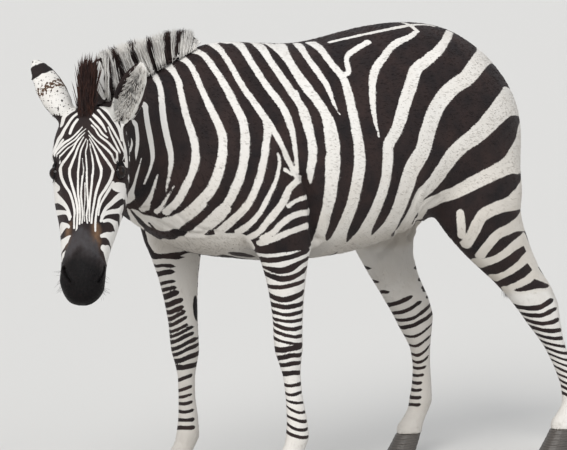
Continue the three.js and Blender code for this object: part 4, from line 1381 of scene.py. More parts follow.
def blades(roots, ways, sides, lengths, widths, thick, bend, levels, taper, blunt):
    """Three-sided blades from each root along its way. Returns vertices, triangles, the share of the length
    at each vertex and its blade."""
    n = len(roots)
    across = unit(sides - ways * np.einsum("ij,ij->i", sides, ways)[:, None])
    out = np.cross(ways, across)
    rings, share = [], []
    for t in levels:
        middle = roots + ways * (lengths * t)[:, None] + bend * (t * t)
        half = widths / 2 * ((1 - t) ** taper * (1 - blunt) + blunt)
        for angle in BLADE_CORNERS:
            rings.append(middle + out * (half * thick * math.cos(angle))[:, None]
                         + across * (half * math.sin(angle))[:, None])
            share.append(np.full(n, t))
    rings.append(roots + ways * lengths[:, None] + bend)
    share.append(np.ones(n))
    per = len(rings)
    verts = np.stack(rings, 1).reshape(-1, 3)
    share = np.stack(share, 1).ravel()
    one = [(0, 2, 1)]
    for level in range(len(levels) - 1):
        for k in range(3):
            a, b = level * 3 + k, level * 3 + (k + 1) % 3
            one += [(a, b, b + 3), (a, b + 3, a + 3)]
    last = (len(levels) - 1) * 3
    one += [(last + k, last + (k + 1) % 3, per - 1) for k in range(3)]
    tris = (np.array(one)[None] + (np.arange(n) * per)[:, None, None]).reshape(-1, 3)
    return verts, tris, share, np.repeat(np.arange(n), per)


PATCH = .003  # the size of a lock's own patch in the bake's map
MAP_MARGIN = .002


def hair_piece(name, material, made, root_map, marks):
    """One joined mesh of blades with the colours of their roots."""
    verts, tris, share, blade = made
    mesh = mesh_from(name, verts, tris)
    for key, values in marks.items():
        give(mesh, key, values[blade] if len(values) != len(verts) else values)
    corner = np.zeros(len(mesh.loops), np.int32)
    mesh.loops.foreach_get("vertex_index", corner)
    place = MAP_MARGIN + np.clip(root_map, 0, 1) * (1 - 2 * MAP_MARGIN - PATCH)
    local = np.stack([np.tile([0, .5, 1], len(verts) // 3 + 1)[:len(verts)], share], 1) * PATCH
    uv = mesh.uv_layers.new(name="OFBake")
    uv.data.foreach_set("uv", (place[blade] + local)[corner].astype(np.float32).ravel())
    mesh.materials.append(material)
    obj = link(name, mesh)
    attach(obj, "root")
    return obj


def give(mesh, name, values):
    layer = mesh.attributes.new(name, "FLOAT", "POINT")
    layer.data.foreach_set("value", np.asarray(values, np.float32).ravel())


def give_vector(mesh, name, values):
    layer = mesh.attributes.new(name, "FLOAT_VECTOR", "POINT")
    layer.data.foreach_set("vector", np.asarray(values, np.float32).ravel())


# ---------------- materials
class Nodes:
    """A short way to write a shader's nodes."""

    def __init__(self, name):
        self.material = bpy.data.materials.new(name)
        self.material.use_nodes = True
        self.tree = self.material.node_tree
        self.shader = self.tree.nodes["Principled BSDF"]

    def put(self, kind, inputs=(), **settings):
        node = self.tree.nodes.new(kind)
        for key, value in settings.items():
            setattr(node, key, value)
        for key, value in dict(inputs).items():
            self.feed(node.inputs[key], value)
        return node

    def feed(self, socket, value):
        if isinstance(value, bpy.types.NodeSocket):
            self.tree.links.new(value, socket)
        else:
            socket.default_value = value

    def surface(self, **values):
        for key, value in values.items():
            self.feed(self.shader.inputs[key.replace("_", " ")], value)

    def attribute(self, name, output="Fac"):
        return self.put("ShaderNodeAttribute", attribute_name=name).outputs[output]

    def noise(self, vector, scale, detail=3.0, rough=.55):
        inputs = {"Vector": vector, "Scale": scale, "Detail": detail, "Roughness": rough}
        return self.put("ShaderNodeTexNoise", inputs).outputs["Fac"]

    def maths(self, kind, a, b=0.0):
        return self.put("ShaderNodeMath", {0: a, 1: b}, operation=kind).outputs[0]

    def spread(self, value, low, high, to_low=0.0, to_high=1.0):
        inputs = {"Value": value, "From Min": low, "From Max": high, "To Min": to_low, "To Max": to_high}
        return self.put("ShaderNodeMapRange", inputs).outputs[0]

    def mix(self, factor, a, b):
        node = self.put("ShaderNodeMix", data_type="RGBA")
        self.feed(node.inputs[0], factor)
        self.feed(node.inputs[6], a)
        self.feed(node.inputs[7], b)
        return node.outputs[2]

    def bump(self, height, strength, distance, under=None):
        node = self.put("ShaderNodeBump", {"Height": height, "Strength": strength, "Distance": distance})
        if under is not None:
            self.feed(node.inputs["Normal"], under)
        return node.outputs[0]


ZONES = ("tone", "shade", "grey", "brown", "bare", "warm", "ear", "fray", "deep")
WHITE_HAIR, CREAM_HAIR = (.72, .705, .68, 1), (.47, .42, .355, 1)
SHADED_HAIR = (.36, .345, .33, 1)
DARK_HAIR, BROWN_HAIR = (.0095, .0078, .0088, 1), (.030, .018, .016, 1)
WARM_HAIR, NOSE_BROWN, NOSE_GREY = (.075, .042, .026, 1), (.16, .092, .052, 1), (.052, .049, .052, 1)
BARE_SKIN = (.003, .0028, .003, 1)
# pale hair inside the ears, painted grey for the shade in the ear's cup
EAR_HAIR_IN_SHADE = (.42, .41, .385, 1)
RUST_HAIR = (.065, .024, .015, 1)


def coat_material(name, on_skin_itself):
    """Hair coloured by zone and stripe; on the skin it has bump along its lie, and single locks vary."""
    n = Nodes(name)
    place = n.put("ShaderNodeTexCoord").outputs["Object"]
    grain = n.attribute("grain", "Vector") if on_skin_itself else place
    fray = n.attribute("fray")
    ragged = n.spread(n.noise(grain, 420, 2), .28, .72, -1.9, 1.9)
    broad = n.spread(n.noise(place, 34, 2), .3, .7, -1.3, 1.3)
    shift = n.maths("MULTIPLY", n.maths("ADD", ragged, broad), fray)
    edge = n.maths("ADD", n.attribute("mark"), shift)
    dark = n.spread(edge, -.55, .55)
    fine = n.noise(grain, 700, 3, .6)
    patchy = n.noise(place, 14, 4)
    # creamier and greyer hair: the hair's own tone, with painted shade low on the body, underneath and on the
    # legs' inner sides
    white = n.mix(n.attribute("tone"), WHITE_HAIR, CREAM_HAIR)
    white = n.mix(n.attribute("shade"), white, SHADED_HAIR)
    white = n.mix(n.spread(fine, .35, .8, 0, .20), white, CREAM_HAIR)
    white = n.mix(n.spread(patchy, .45, .75, 0, .18), white, CREAM_HAIR)
    black = n.mix(n.spread(patchy, .30, .72), DARK_HAIR, BROWN_HAIR)
    black = n.mix(n.spread(fine, .45, .85, 0, .5), black, BROWN_HAIR)
    black = n.mix(n.attribute("warm"), black, WARM_HAIR)
    brown = n.maths("MULTIPLY", n.attribute("brown"), n.spread(n.noise(place, 60, 3), .25, .7, .35, 1.0))
    black = n.mix(brown, black, NOSE_BROWN)
    grey = n.maths("MULTIPLY", n.attribute("grey"), n.spread(n.noise(place, 90, 4), .2, .75, .45, 1.0))
    black = n.mix(grey, black, NOSE_GREY)
    # inside the ears, painted shade greys the pale hair
    ear = n.maths("MULTIPLY", n.attribute("ear"), n.spread(fine, .2, .8, .55, 1.0))
    white = n.mix(ear, white, EAR_HAIR_IN_SHADE)
    colour = n.mix(dark, white, black)
    bare = n.attribute("bare")
    skin_tone = n.mix(n.spread(n.noise(place, 260, 3), .35, .75, 0, .8), BARE_SKIN, (.009, .008, .0085, 1))
    thin = n.maths("MULTIPLY", bare, n.spread(n.noise(place, 120, 3), .25, .6, .82, 1.0))
    colour = n.mix(thin, colour, skin_tone)
    if not on_skin_itself:  # single locks vary a little
        varied = n.mix(dark, CREAM_HAIR, BROWN_HAIR)
        colour = n.mix(n.spread(n.attribute("luck"), 0, 1, 0, .14), colour, varied)
        colour = n.mix(n.attribute("rust"), colour, RUST_HAIR)
        colour = n.mix(n.attribute("soot"), colour, DARK_HAIR)
    # painted shade: near black in the nostrils, along the mouth and in the ears' cups
    colour = n.mix(n.attribute("deep"), colour, (.002, .0015, .0015, 1))
    n.surface(Base_Color=colour, Roughness=n.spread(bare, 0, 1, .62, .48),
              Specular_IOR_Level=n.spread(bare, 0, 1, .15, .07), Sheen_Weight=.02, Sheen_Roughness=.4)
    if on_skin_itself:
        hair = n.bump(n.maths("MULTIPLY", fine, n.spread(bare, 0, 1, 1, .35)), .55, .0016)
        soft = n.bump(n.noise(grain, 110, 3), .35, .002, hair)
        pores = n.bump(n.maths("MULTIPLY", n.noise(place, 520, 3), bare), .5, .0012, soft)
        n.surface(Normal=pores)
    else:
        n.surface(Normal=n.bump(n.noise(place, 900, 2), .3, .0006))
    return n.material


PUPIL_HALF = (.36, .17)  # a level slit, in radii of the ball


def eye_material():
    n = Nodes("eye")
    place = n.attribute("look", "Vector")  # x along the lids, y up, z outwards, in radii of the ball
    parts = n.put("ShaderNodeSeparateXYZ", {"Vector": place})
    x, y = parts.outputs["X"], parts.outputs["Y"]

    def reach(a, b):
        return n.maths("SQRT", n.maths("ADD", n.maths("MULTIPLY", a, a), n.maths("MULTIPLY", b, b)))

    pupil = reach(n.maths("DIVIDE", x, PUPIL_HALF[0]), n.maths("DIVIDE", y, PUPIL_HALF[1]))
    iris = reach(x, y)
    fibres = n.noise(place, 14, 4)
    brown = n.mix(n.spread(fibres, .3, .7), (.006, .003, .002, 1), (.016, .008, .005, 1))
    colour = n.mix(n.spread(pupil, .92, 1.08), (.002, .002, .002, 1), brown)
    colour = n.mix(n.spread(iris, .62, .74), colour, (.010, .008, .008, 1))
    colour = n.mix(n.spread(iris, .90, .98), colour, (.05, .036, .03, 1))
    n.surface(Base_Color=colour, Roughness=.07, Specular_IOR_Level=.22)
    return n.material


def horn_material():
    n = Nodes("hoof")
    place = n.put("ShaderNodeTexCoord").outputs["Object"]
    height = n.put("ShaderNodeSeparateXYZ", {"Vector": place}).outputs["Z"]
    bent = n.maths("ADD", n.maths("MULTIPLY", height, 900), n.spread(n.noise(place, 30, 2), 0, 1, -3, 3))
    rings = n.maths("SINE", bent)
    squeezed = n.put("ShaderNodeMapping", {"Vector": place, "Scale": (1, 1, .08)}).outputs[0]
    fibres = n.noise(squeezed, 900, 3)
    colour = n.mix(n.spread(fibres, .3, .75), (.018, .016, .015, 1), (.085, .072, .062, 1))
    colour = n.mix(n.spread(rings, -1, 1, 0, .35), colour, (.12, .105, .09, 1))
    colour = n.mix(n.spread(height, .002, .02, .5, 0), colour, (.15, .125, .10, 1))
    worn = n.bump(rings, .35, .0009)
    n.surface(Base_Color=colour, Roughness=.48, Normal=n.bump(fibres, .3, .0008, worn))
    return n.material


COAT = coat_material("coat", True)
LOCKS = coat_material("coat_locks", False)
MANE = coat_material("mane_hair", False)
TUFT = coat_material("tail_hair", False)
EYE, HORN = eye_material(), horn_material()

skin_mesh = mesh_from("skin", skin_v, skin_t)
give(skin_mesh, "mark", mark_mm)
for key in ZONES:
    give(skin_mesh, key, zones[key])
give_vector(skin_mesh, "grain", grain_of(skin_v, skin_n))
skin_mesh.materials.append(COAT)
skin = link("skin", skin_mesh)
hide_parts(*FLESH)
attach(skin, "root")


# ---------------- eyes
CORNEA_RISE, CORNEA_SPREAD = .045, .55  # a share of the radius, and radians from the ball's front
BALL_SHARE = .985  # of the solid's radius


def build_eye(name, centre, radius, outward, lengthways, upward):
    """A ball with its cornea raised; its look is each corner's place in radii of the ball."""
    rows, columns = ((40, 56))
    polar = np.linspace(0, math.pi, rows + 1)[1:-1]
    turn = np.linspace(0, 2 * math.pi, columns, endpoint=False)
    p, t = np.meshgrid(polar, turn, indexing="ij")
    ball = np.stack([np.sin(p) * np.cos(t), np.sin(p) * np.sin(t), np.cos(p)], -1).reshape(-1, 3)
    ball = np.concatenate([ball, [[0, 0, 1], [0, 0, -1]]])
    tris = []
    for i in range(rows - 2):
        for j in range(columns):
            a, b = i * columns + j, i * columns + (j + 1) % columns
            tris += [(a, a + columns, b + columns), (a, b + columns, b)]
    top, bottom, last = len(ball) - 2, len(ball) - 1, (rows - 2) * columns
    for j in range(columns):
        k = (j + 1) % columns
        tris += [(top, j, k), (bottom, last + k, last + j)]
    bulge = 1 + CORNEA_RISE * bell(np.arccos(np.clip(ball[:, 2], -1, 1)), CORNEA_SPREAD)
    way = ball[:, :1] * lengthways + ball[:, 1:2] * upward + ball[:, 2:] * outward
    verts = centre + way * (radius * bulge)[:, None]
    tris = np.array(tris)
    if np.cross(lengthways, upward) @ outward < 0:
        tris = tris[:, ::-1]
    mesh = mesh_from(name, verts, tris)
    give_vector(mesh, "look", ball)
    mesh.materials.append(EYE)
    obj = link(name, mesh)
    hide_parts(name.replace("ball", "eye"))
    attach(obj, "root")


for side_name, (centre, radius, outward, lengthways, upward) in EYES.items():
    build_eye("ball_" + side_name, centre, radius * BALL_SHARE, outward, lengthways, upward)


# ---------------- hooves
HORN_VOXEL = .0021
GROWTH_RINGS, RING_RISE = 5.5, .00035
HEEL = (.018, .035)  # from the hoof's middle back, where the heel starts and is full
CLEFT_HALF, CLEFT_DEPTH = .006, .007
SOLE = .0012  # what lies lower than this is put on the floor


def build_hoof(node):
    """The solid's horn with soft rims, rings of growth and the heel's cleft."""
    verts, tris = arrays_of(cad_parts[node].data)
    verts, tris = voxelled(verts, tris, HORN_VOXEL)
    edges, _ = edges_of(tris)
    low, high = verts.min(0), verts.max(0)
    verts = relax(verts, edges, smooth01(verts[:, 2], .001, .006), 8)
    normals = normals_of(verts, tris)
    middle = (low + high) / 2
    wall = np.abs(normals[:, 2]) < .8
    height = (verts[:, 2] - verts[:, 2].min()) / (high[2] - low[2])
    growth = np.sin(height * 2 * np.pi * GROWTH_RINGS + wobble(verts, .05, 71) * .8) * RING_RISE
    verts = verts + normals * (growth * wall * smooth01(height, .04, .2))[:, None]
    # the heel's cleft
    across = verts[:, 0] - middle[0]
    heel = smooth01(verts[:, 1] - middle[1], *HEEL)
    verts[:, 1] -= heel * bell(across, CLEFT_HALF) * CLEFT_DEPTH * (1 - smooth01(height, .5, .9))
    verts[:, 2] = np.clip(verts[:, 2], 0, None)
    verts[verts[:, 2] < SOLE, 2] = 0
    mesh = mesh_from(node + "_horn", verts, tris)
    mesh.materials.append(HORN)
    obj = link(node + "_horn", mesh)
    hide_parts(node)
    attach(obj, "root")


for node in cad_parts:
    if "_hoof_" in node:
        build_hoof(node)


# ---------------- mane
# Its crest line in the withers' frame with the middle's height above it, from the withers to the poll
MANE_CREST = [(0, -28, 1273, 12), (2, -45, 1268, 48), (4, -70, 1258, 66), (10, -140, 1232, 92),
              (32, -214, 1208, 108), (70, -292, 1186, 124), (120, -376, 1164, 134), (150, -424, 1149, 134)]
MANE_UP = [(0, .17, .985), (0, .18, .983), (0, .18, .983), (0, .26, .965), (-.01, .30, .953),
           (-.04, .31, .95), (-.05, .24, .968), (-.06, .17, .983)]
CREST_START = .02  # the first locks' place along the crest
MANE_HALF, MANE_MAP_WIDTH = .024, .12
MANE_FULLNESS = 1.25  # how much wider the mane's whites are laid than drawn
# Where locks rooted at one pixel column of the crest reach its top: they lean back behind and ahead in front
LEAN = [(80, 74), (98, 80), (112, 92), (128, 112), (140, 128), (149.5, 140.4), (160, 157.5), (172.6, 174.2),
        (180, 189), (192, 201), (205, 212)]
crest = smooth_path(np.array([(x / 1000, y / 1000, z / 1000, h / 1000) for x, y, z, h in MANE_CREST]), .006)
crest[:, :3] += DESIGN_SHIFT
knots = np.linspace(0, 1, len(MANE_UP))
crest_at = np.linspace(0, 1, len(crest))
crest_up = unit(np.stack([np.interp(crest_at, knots, np.array(MANE_UP)[:, k]) for k in range(3)], 1))
ridge = crest[:, :3] + crest_up * crest[:, 3:]
crest_px, ridge_px = pixel_of(crest[:, :3])[0], pixel_of(ridge)[0]


def crest_point(table, at):
    return np.stack([np.interp(at, crest_at, table[:, k]) for k in range(table.shape[1])], 1)


def ridge_over(at):
    """Where on the ridge a lock rooted at a place on the crest ends."""
    column = np.interp(at, crest_at, crest_px)
    target = np.interp(column, *np.array(LEAN).T)
    order = np.argsort(ridge_px)
    return np.interp(target, ridge_px[order], crest_at[order])


def picture_bands(points, strokes):
    """The signed distance in metres to white strokes, measured in the camera's picture: negative inside."""
    rows = []
    for view, drawn in strokes.items():
        for _, _, line, widths in drawn:
            table, half = picture_stroke(view, line, widths)
            smooth = smooth_path(np.column_stack([table, half * MANE_FULLNESS]), 1.0)
            rows.append(dense(np.insert(smooth, 2, 0, axis=1), .5))
    x, y = pixel_of(points)
    flat = np.column_stack([x, y, np.zeros(len(x))])
    samples = np.concatenate(rows)
    out = np.empty(len(flat))
    for i in range(0, len(flat), 6000):
        gaps = np.linalg.norm(flat[i:i + 6000, None, :2] - samples[None, :, :2], axis=2) - samples[:, 3]
        out[i:i + 6000] = gaps.min(1)
    return out / EXPECTED_SCALE


DARK_MARK, WHITE_MARK = 20, -20  # mm: well inside a dark or a white stripe


def plain_marks(count, mark, **values):
    """Attributes for hair that has no stripes of its own."""
    out = {key: np.zeros(count) for key in ZONES + ("luck", "rust", "soot")}
    out["mark"] = np.broadcast_to(np.asarray(mark, float), (count,)).copy()
    out["fray"] = np.full(count, .5)
    out["luck"] = rng.random(count)
    for key, value in values.items():
        out[key] = np.broadcast_to(np.asarray(value, float), (count,)).copy()
    return out


def mane_core():
    """The body of the mane under its locks, a little inside the solid."""
    verts, tris = arrays_of(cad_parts["mane"].data)
    verts, tris = voxelled(verts, tris, .0045)
    edges, _ = edges_of(tris)
    verts = relax(verts, edges, 1.0, 10)
    normals = normals_of(verts, tris)
    outside = smooth01(normals @ np.array([0, 0, 1.0]), -.7, -.2)
    verts = verts - normals * (.011 * outside)[:, None]
    normals = normals_of(verts, tris)
    squeezed = verts * [1, 1, .12]
    verts = verts + normals * (wobble(squeezed, .012, 81) * .0016)[:, None]
    mark = picture_bands(verts, MANE_WHITES) * 1000
    rust = 1 - smooth01(pixel_of(verts)[0], 86, 91)
    mesh = mesh_from("mane_core", verts, tris)
    values = plain_marks(len(verts), np.where(rust > .3, DARK_MARK, mark), rust=rust * .5, soot=rust * .4)
    for key, value in values.items():
        give(mesh, key, value)
    mesh.materials.append(MANE)
    obj = link("mane_core", mesh)
    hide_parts("mane")
    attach(obj, "root")


mane_core()


def mane_locks(count):
    """Roots on the crest, ways, sides, lengths and widths; a third of the locks are short."""
    at = CREST_START + (1 - CREST_START) * rng.random(count)
    off = rng.normal(0, .42, count).clip(-1, 1)
    side = np.stack([np.interp(at, [0, .3, 1], [1, .95, .71]), np.interp(at, [0, .3, 1], [0, .25, .70]),
                     np.zeros(count)], 1)
    side = unit(side)
    root = crest_point(crest[:, :3], at) + side * (off * MANE_HALF)[:, None] + np.array([0, 0, -.006])
    top = crest_point(ridge, np.clip(ridge_over(at) + rng.normal(0, .012, count), 0, 1))
    full = np.linalg.norm(top - root, axis=1)
    short = np.where(rng.random(count) < .35, rng.uniform(.45, .85, count), rng.uniform(.86, 1.0, count))
    way = unit(top + side * (off * MANE_HALF * .55)[:, None] - root)
    way = unit(way + rng.normal(0, .035, (count, 3)))
    length = full * short * (1 - .10 * np.abs(off))
    width = rng.uniform(.0045, .0085, count)
    return root, way, side, length, width


def build_mane(count, name):
    """The mane's locks, white or dark by their band, rust near the poll, sooty or rust at their tips."""
    root, way, side, length, width = mane_locks(count)
    bend = rng.normal(0, .004, (count, 3))
    flat = side + rng.normal(0, .4, (count, 3))
    made = blades(root, way, flat, length, width, .55, bend, LONG_LEVELS, .7, .16)
    verts, tris, share, blade = made
    middle = root + way * (length * .45)[:, None]
    mark = picture_bands(middle, MANE_WHITES) * 1000
    column, _ = pixel_of(middle)
    rust = (1 - smooth01(column, 84, 91)) * rng.uniform(.3, 1, count)
    values = plain_marks(count, np.where(rust > .1, DARK_MARK, mark))
    per = {key: value[blade] for key, value in values.items()}
    tips = smooth01(share, .72, .97)
    black = (mark > 0)[blade]
    per["soot"] = tips * np.where(black, .55, .12) * (1 - rust[blade])
    per["rust"] = np.maximum(rust[blade] * (.25 + .75 * share), tips * black * .45)
    at = root_share(root)
    off = root[:, 0] - crest_point(crest[:, :3], at)[:, 0]
    uv = np.column_stack([at, np.clip(.5 + off / MANE_MAP_WIDTH, 0, 1)])
    hair_piece(name, MANE, made, uv, per)


def root_share(points):
    """How far along the crest each point is, from 0 to 1."""
    gaps = ((points[:, None, :2] - crest[None, :, :2]) ** 2).sum(2)
    return crest_at[gaps.argmin(1)]


build_mane(5200, "mane_locks")

# Its roots' span along the face, their middle to the left, and the hair's height along that span
FORELOCK_ALONG, FORELOCK_LEFT = (-.012, .056), -.007
FORELOCK_HEIGHTS = [(-.010, .132), (.008, .130), (.030, .108), (.048, .064), (.058, .024)]


def build_forelock(count):
    """The upright hair between the ears, rust at its tips and outer sides."""
    along = rng.uniform(*FORELOCK_ALONG, count)
    left = rng.normal(FORELOCK_LEFT, .009, count).clip(-.024, .010)
    root = POLL + HEAD_ALONG * along[:, None] + HEAD_LEFT * left[:, None] + HEAD_FACE * -.010
    way = HEAD_FACE * .35 - HEAD_ALONG * .94 + HEAD_LEFT * (.06 - left)[:, None]
    way = unit(way + rng.normal(0, .075, (count, 3)))
    length = np.interp(along, *np.array(FORELOCK_HEIGHTS).T) * rng.uniform(.50, 1.0, count) ** .6 + .006
    bend = HEAD_ALONG * (rng.uniform(-.002, .012, count) * length / .1)[:, None]
    bend += rng.normal(0, .004, (count, 3))
    flat = HEAD_LEFT + rng.normal(0, .5, (count, 3))
    width = rng.uniform(.003, .0055, count)
    made = blades(root, way, flat, length, width, .55, bend, LONG_LEVELS, .7, .16)
    share, blade = made[2], made[3]
    values = plain_marks(count, DARK_MARK)
    per = {key: value[blade] for key, value in values.items()}
    outer = smooth01(np.abs(left - FORELOCK_LEFT), .004, .015)
    warm = (rng.uniform(.1, .6, count) + .4 * outer)[blade]
    per["rust"] = warm * smooth01(share, .35, 1.0)
    per["soot"] = (1 - warm) * .9 * (1 - share)
    uv = np.column_stack([(along - FORELOCK_ALONG[0]) / np.ptp(FORELOCK_ALONG), .5 + left / .046])
    hair_piece("forelock", MANE, made, uv, per)


build_forelock(2000)


# ---------------- tail
TUFT_LINE = [(0, 1057, 800), (0, 1057, 730), (0, 1056, 650), (0, 1055, 570), (0, 1054, 500), (0, 1053, 458)]
tuft_line = np.array(TUFT_LINE) / 1000 + DESIGN_SHIFT
TUFT_LOW, TUFT_HIGH = .458, .805
TUFT_REACH = [(.57, .022), (.65, .024), (.73, .019), (.79, .013)]  # from the line to the roots, by height


def tuft_core():
    """The body of the tail's tuft under its locks."""
    verts, tris = arrays_of(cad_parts["tail_tuft"].data)
    verts, tris = voxelled(verts, tris, .0032)
    edges, _ = edges_of(tris)
    verts = relax(verts, edges, 1.0, 6)
    normals = normals_of(verts, tris)
    low = smooth01(-verts[:, 2], -.72, -.48)
    verts = verts - normals * (.003 + .007 * low)[:, None]
    verts = verts + normals * (wobble(verts * [1, 1, .08], .009, 91) * .0018)[:, None]
    mesh = mesh_from("tuft_core", verts, tris)
    for key, value in plain_marks(len(verts), DARK_MARK, soot=.5).items():
        give(mesh, key, value)
    mesh.materials.append(TUFT)
    obj = link("tuft_core", mesh)
    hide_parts("tail_tuft")
    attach(obj, "root")


tuft_core()


def build_tuft(count):
    """The tuft's long locks, with some white ones near its top."""
    level = TUFT_LOW + (TUFT_HIGH - TUFT_LOW) * rng.uniform(.38, 1, count) ** .8
    turn = rng.uniform(0, 2 * math.pi, count)
    out = np.stack([np.cos(turn), np.sin(turn), np.zeros(count)], 1)
    centre = np.stack([np.interp(level, tuft_line[::-1, 2], tuft_line[::-1, k]) for k in range(3)], 1)
    centre[:, 2] = level
    reach = np.interp(level, *np.array(TUFT_REACH).T)
    root = centre + out * reach[:, None]
    length = np.minimum(rng.uniform(.12, .30, count), level - TUFT_LOW - .004)
    way = np.array([0, 0, -1.0]) + out * rng.uniform(.0, .075, count)[:, None]
    way = unit(way + rng.normal(0, .02, (count, 3)))
    bend = -out * (length * rng.uniform(.02, .10, count))[:, None] + rng.normal(0, .004, (count, 3))
    width = rng.uniform(.0035, .007, count)
    made = blades(root, way, np.cross(out, way), length, width, .55, bend, LONG_LEVELS, .6, .14)
    blade = made[3]
    white = (rng.random(count) < .16) & (level > .68)
    soot = np.where(white, 0, rng.uniform(.2, .9, count))
    values = plain_marks(count, np.where(white, WHITE_MARK, DARK_MARK), soot=soot)
    per = {key: value[blade] for key, value in values.items()}
    uv = np.column_stack([turn / (2 * math.pi), (level - TUFT_LOW) / .35])
    hair_piece("tail_locks", TUFT, made, uv, per)


build_tuft(1500)


# ---------------- the coat's tufts
centres = skin_v[skin_t].mean(axis=1)
corner = skin_v[skin_t]
face_area = np.linalg.norm(np.cross(corner[:, 1] - corner[:, 0], corner[:, 2] - corner[:, 0]), axis=1) / 2
on_head_face, on_ear_face, on_leg_face = headness(centres), earness(centres), legness(centres)
bare_face = zones["bare"][skin_t].mean(axis=1)
lid_face = np.zeros(len(skin_t))
for centre, radius, *_ in EYES.values():
    from_eye = np.linalg.norm(centres - centre, axis=1) / radius
    lid_face = np.maximum(lid_face, 1 - smooth01(from_eye, 1.4, 1.9))

BODY_TUFT, LEG_TUFT, HEAD_TUFT = (.0125, .0022), (.0085, .0017), (.0062, .0013)  # length and width
LOWEST_TUFT = .078  # just over the hooves
TUFT_LEVELS = (0, .5)
ROOT_DEPTH = .0006  # how far under the skin hairs start


def between(body, leg, head, on_leg, on_head):
    return body + (leg - body) * on_leg + (head - body) * on_head


# The coat's pieces: from where to where each lies along the body, and the legs of two of them
TRUNK_SPANS = {"trunk_rear": (.50, .80), "trunk_middle": (.12, .50), "trunk_front": (-.30, .12),
               "neck": (-.75, -.30)}
LEG_PAIRS = {"fore_legs": ("fore_left", "fore_right"), "hind_legs": ("hind_left", "hind_right")}


def piece_of(points):
    """Which piece of the coat a root belongs to, and its place on that piece's own unwrapped cylinder."""
    head = (headness(points) > .5) | (earness(points) > .3)
    legs = legness(points) > .5
    region = np.full(len(points), "trunk_rear", dtype="<U12")
    y = points[:, 1]
    for name, (_, high) in list(TRUNK_SPANS.items())[1:]:
        region[y < high] = name
    region[legs & (y < .2)] = "fore_legs"
    region[legs & (y >= .2)] = "hind_legs"
    region[head] = "head"
    place = np.zeros((len(points), 2))
    place[:, 0] = np.arctan2(points[:, 0] - MID_X, points[:, 2] - .98) / (2 * math.pi) + .5
    for name, (low, high) in TRUNK_SPANS.items():
        rows = region == name
        place[rows, 1] = (y[rows] - low) / (high - low)
    for name, pair in LEG_PAIRS.items():
        rows = np.nonzero(region == name)[0]
        right = points[rows, 0] < MID_X
        for half, leg in enumerate(pair):
            mine = rows[right == bool(half)]
            off = points[mine, :2] - leg_axis(leg, points[mine, 2])
            place[mine, 0] = half * .5 + (np.arctan2(off[:, 0], off[:, 1]) / (2 * math.pi) + .5) * .49
            place[mine, 1] = points[mine, 2] / .9
    rows = region == "head"
    along, left, face = head_coords(points[rows])
    place[rows, 0] = np.arctan2(left, face + .11) / (2 * math.pi) + .5
    place[rows, 1] = .25 + .75 * (along + .06) / .60
    rows = np.nonzero(earness(points) > .3)[0]
    share, across, depth_in, opens = ear_coords(points[rows])
    place[rows, 0] = .25 * across + .25 + .5 * (depth_in > 0)
    place[rows, 1] = share * .24
    return region, np.clip(place, 0, 1)


def build_coat(count):
    """Short tufts over the skin, denser where they are small, in one piece for each region."""
    on_head_or_ear = np.maximum(on_head_face, on_ear_face)
    size = between(BODY_TUFT[0], LEG_TUFT[0], HEAD_TUFT[0], on_leg_face, on_head_or_ear)
    weight = face_area * (BODY_TUFT[0] / size) ** 1.5 * (bare_face < .5) * (lid_face < .3)
    weight *= centres[:, 2] > LOWEST_TUFT
    pick = np.sort(rng.choice(len(skin_t), count, p=weight / weight.sum()))
    a, b = rng.random(count), rng.random(count)
    over = a + b > 1
    a[over], b[over] = 1 - a[over], 1 - b[over]
    share = np.stack([1 - a - b, a, b], 1)
    corners = skin_t[pick]

    def blend(values):
        return (values[corners] * share.reshape(share.shape + (1,) * (values.ndim - 1))).sum(1)

    root, normal = blend(skin_v), unit(blend(skin_n))
    length, width = (between(BODY_TUFT[k], LEG_TUFT[k], HEAD_TUFT[k], on_leg_face[pick], on_head_or_ear[pick])
                     for k in (0, 1))
    clear_of_edge = smooth01(np.abs(blend(mark_mm)), 1.5, 9)
    length = length * rng.uniform(.75, 1.2, count) * (.5 + .5 * clear_of_edge)
    width = width * rng.uniform(.75, 1.25, count)
    lie = hair_way(root, normal)
    across = np.cross(normal, lie)
    lift = .13 + .07 * (1 - on_head_face[pick]) + rng.normal(0, .03, count)
    way = unit(lie + normal * lift[:, None] + across * rng.normal(0, .10, count)[:, None])
    bend = -normal * (length * .07)[:, None]
    values = {key: blend(zones[key]) for key in ZONES}
    values["mark"] = blend(mark_mm)
    values["luck"] = rng.random(count)
    values["rust"] = values["soot"] = np.zeros(count)
    region, place = piece_of(root)
    for name in np.unique(region):
        rows = np.nonzero(region == name)[0]
        start = root[rows] - normal[rows] * ROOT_DEPTH
        made = blades(start, way[rows], across[rows], length[rows], width[rows], .42, bend[rows],
                      TUFT_LEVELS, .8, .25)
        mine = {key: value[rows] for key, value in values.items()}
        hair_piece("coat_" + str(name), LOCKS, made, place[rows], mine)


build_coat(76000)


# ---------------- hair of the ears, lashes and whiskers
def rooted(chosen, count):
    """Random places on the chosen triangles: points and normals."""
    weight = face_area * chosen
    pick = rng.choice(len(skin_t), count, p=weight / weight.sum())
    share = rng.dirichlet((1, 1, 1), count)
    root, normal = ((values[skin_t[pick]] * share[:, :, None]).sum(1) for values in (skin_v, skin_n))
    return root, unit(normal)


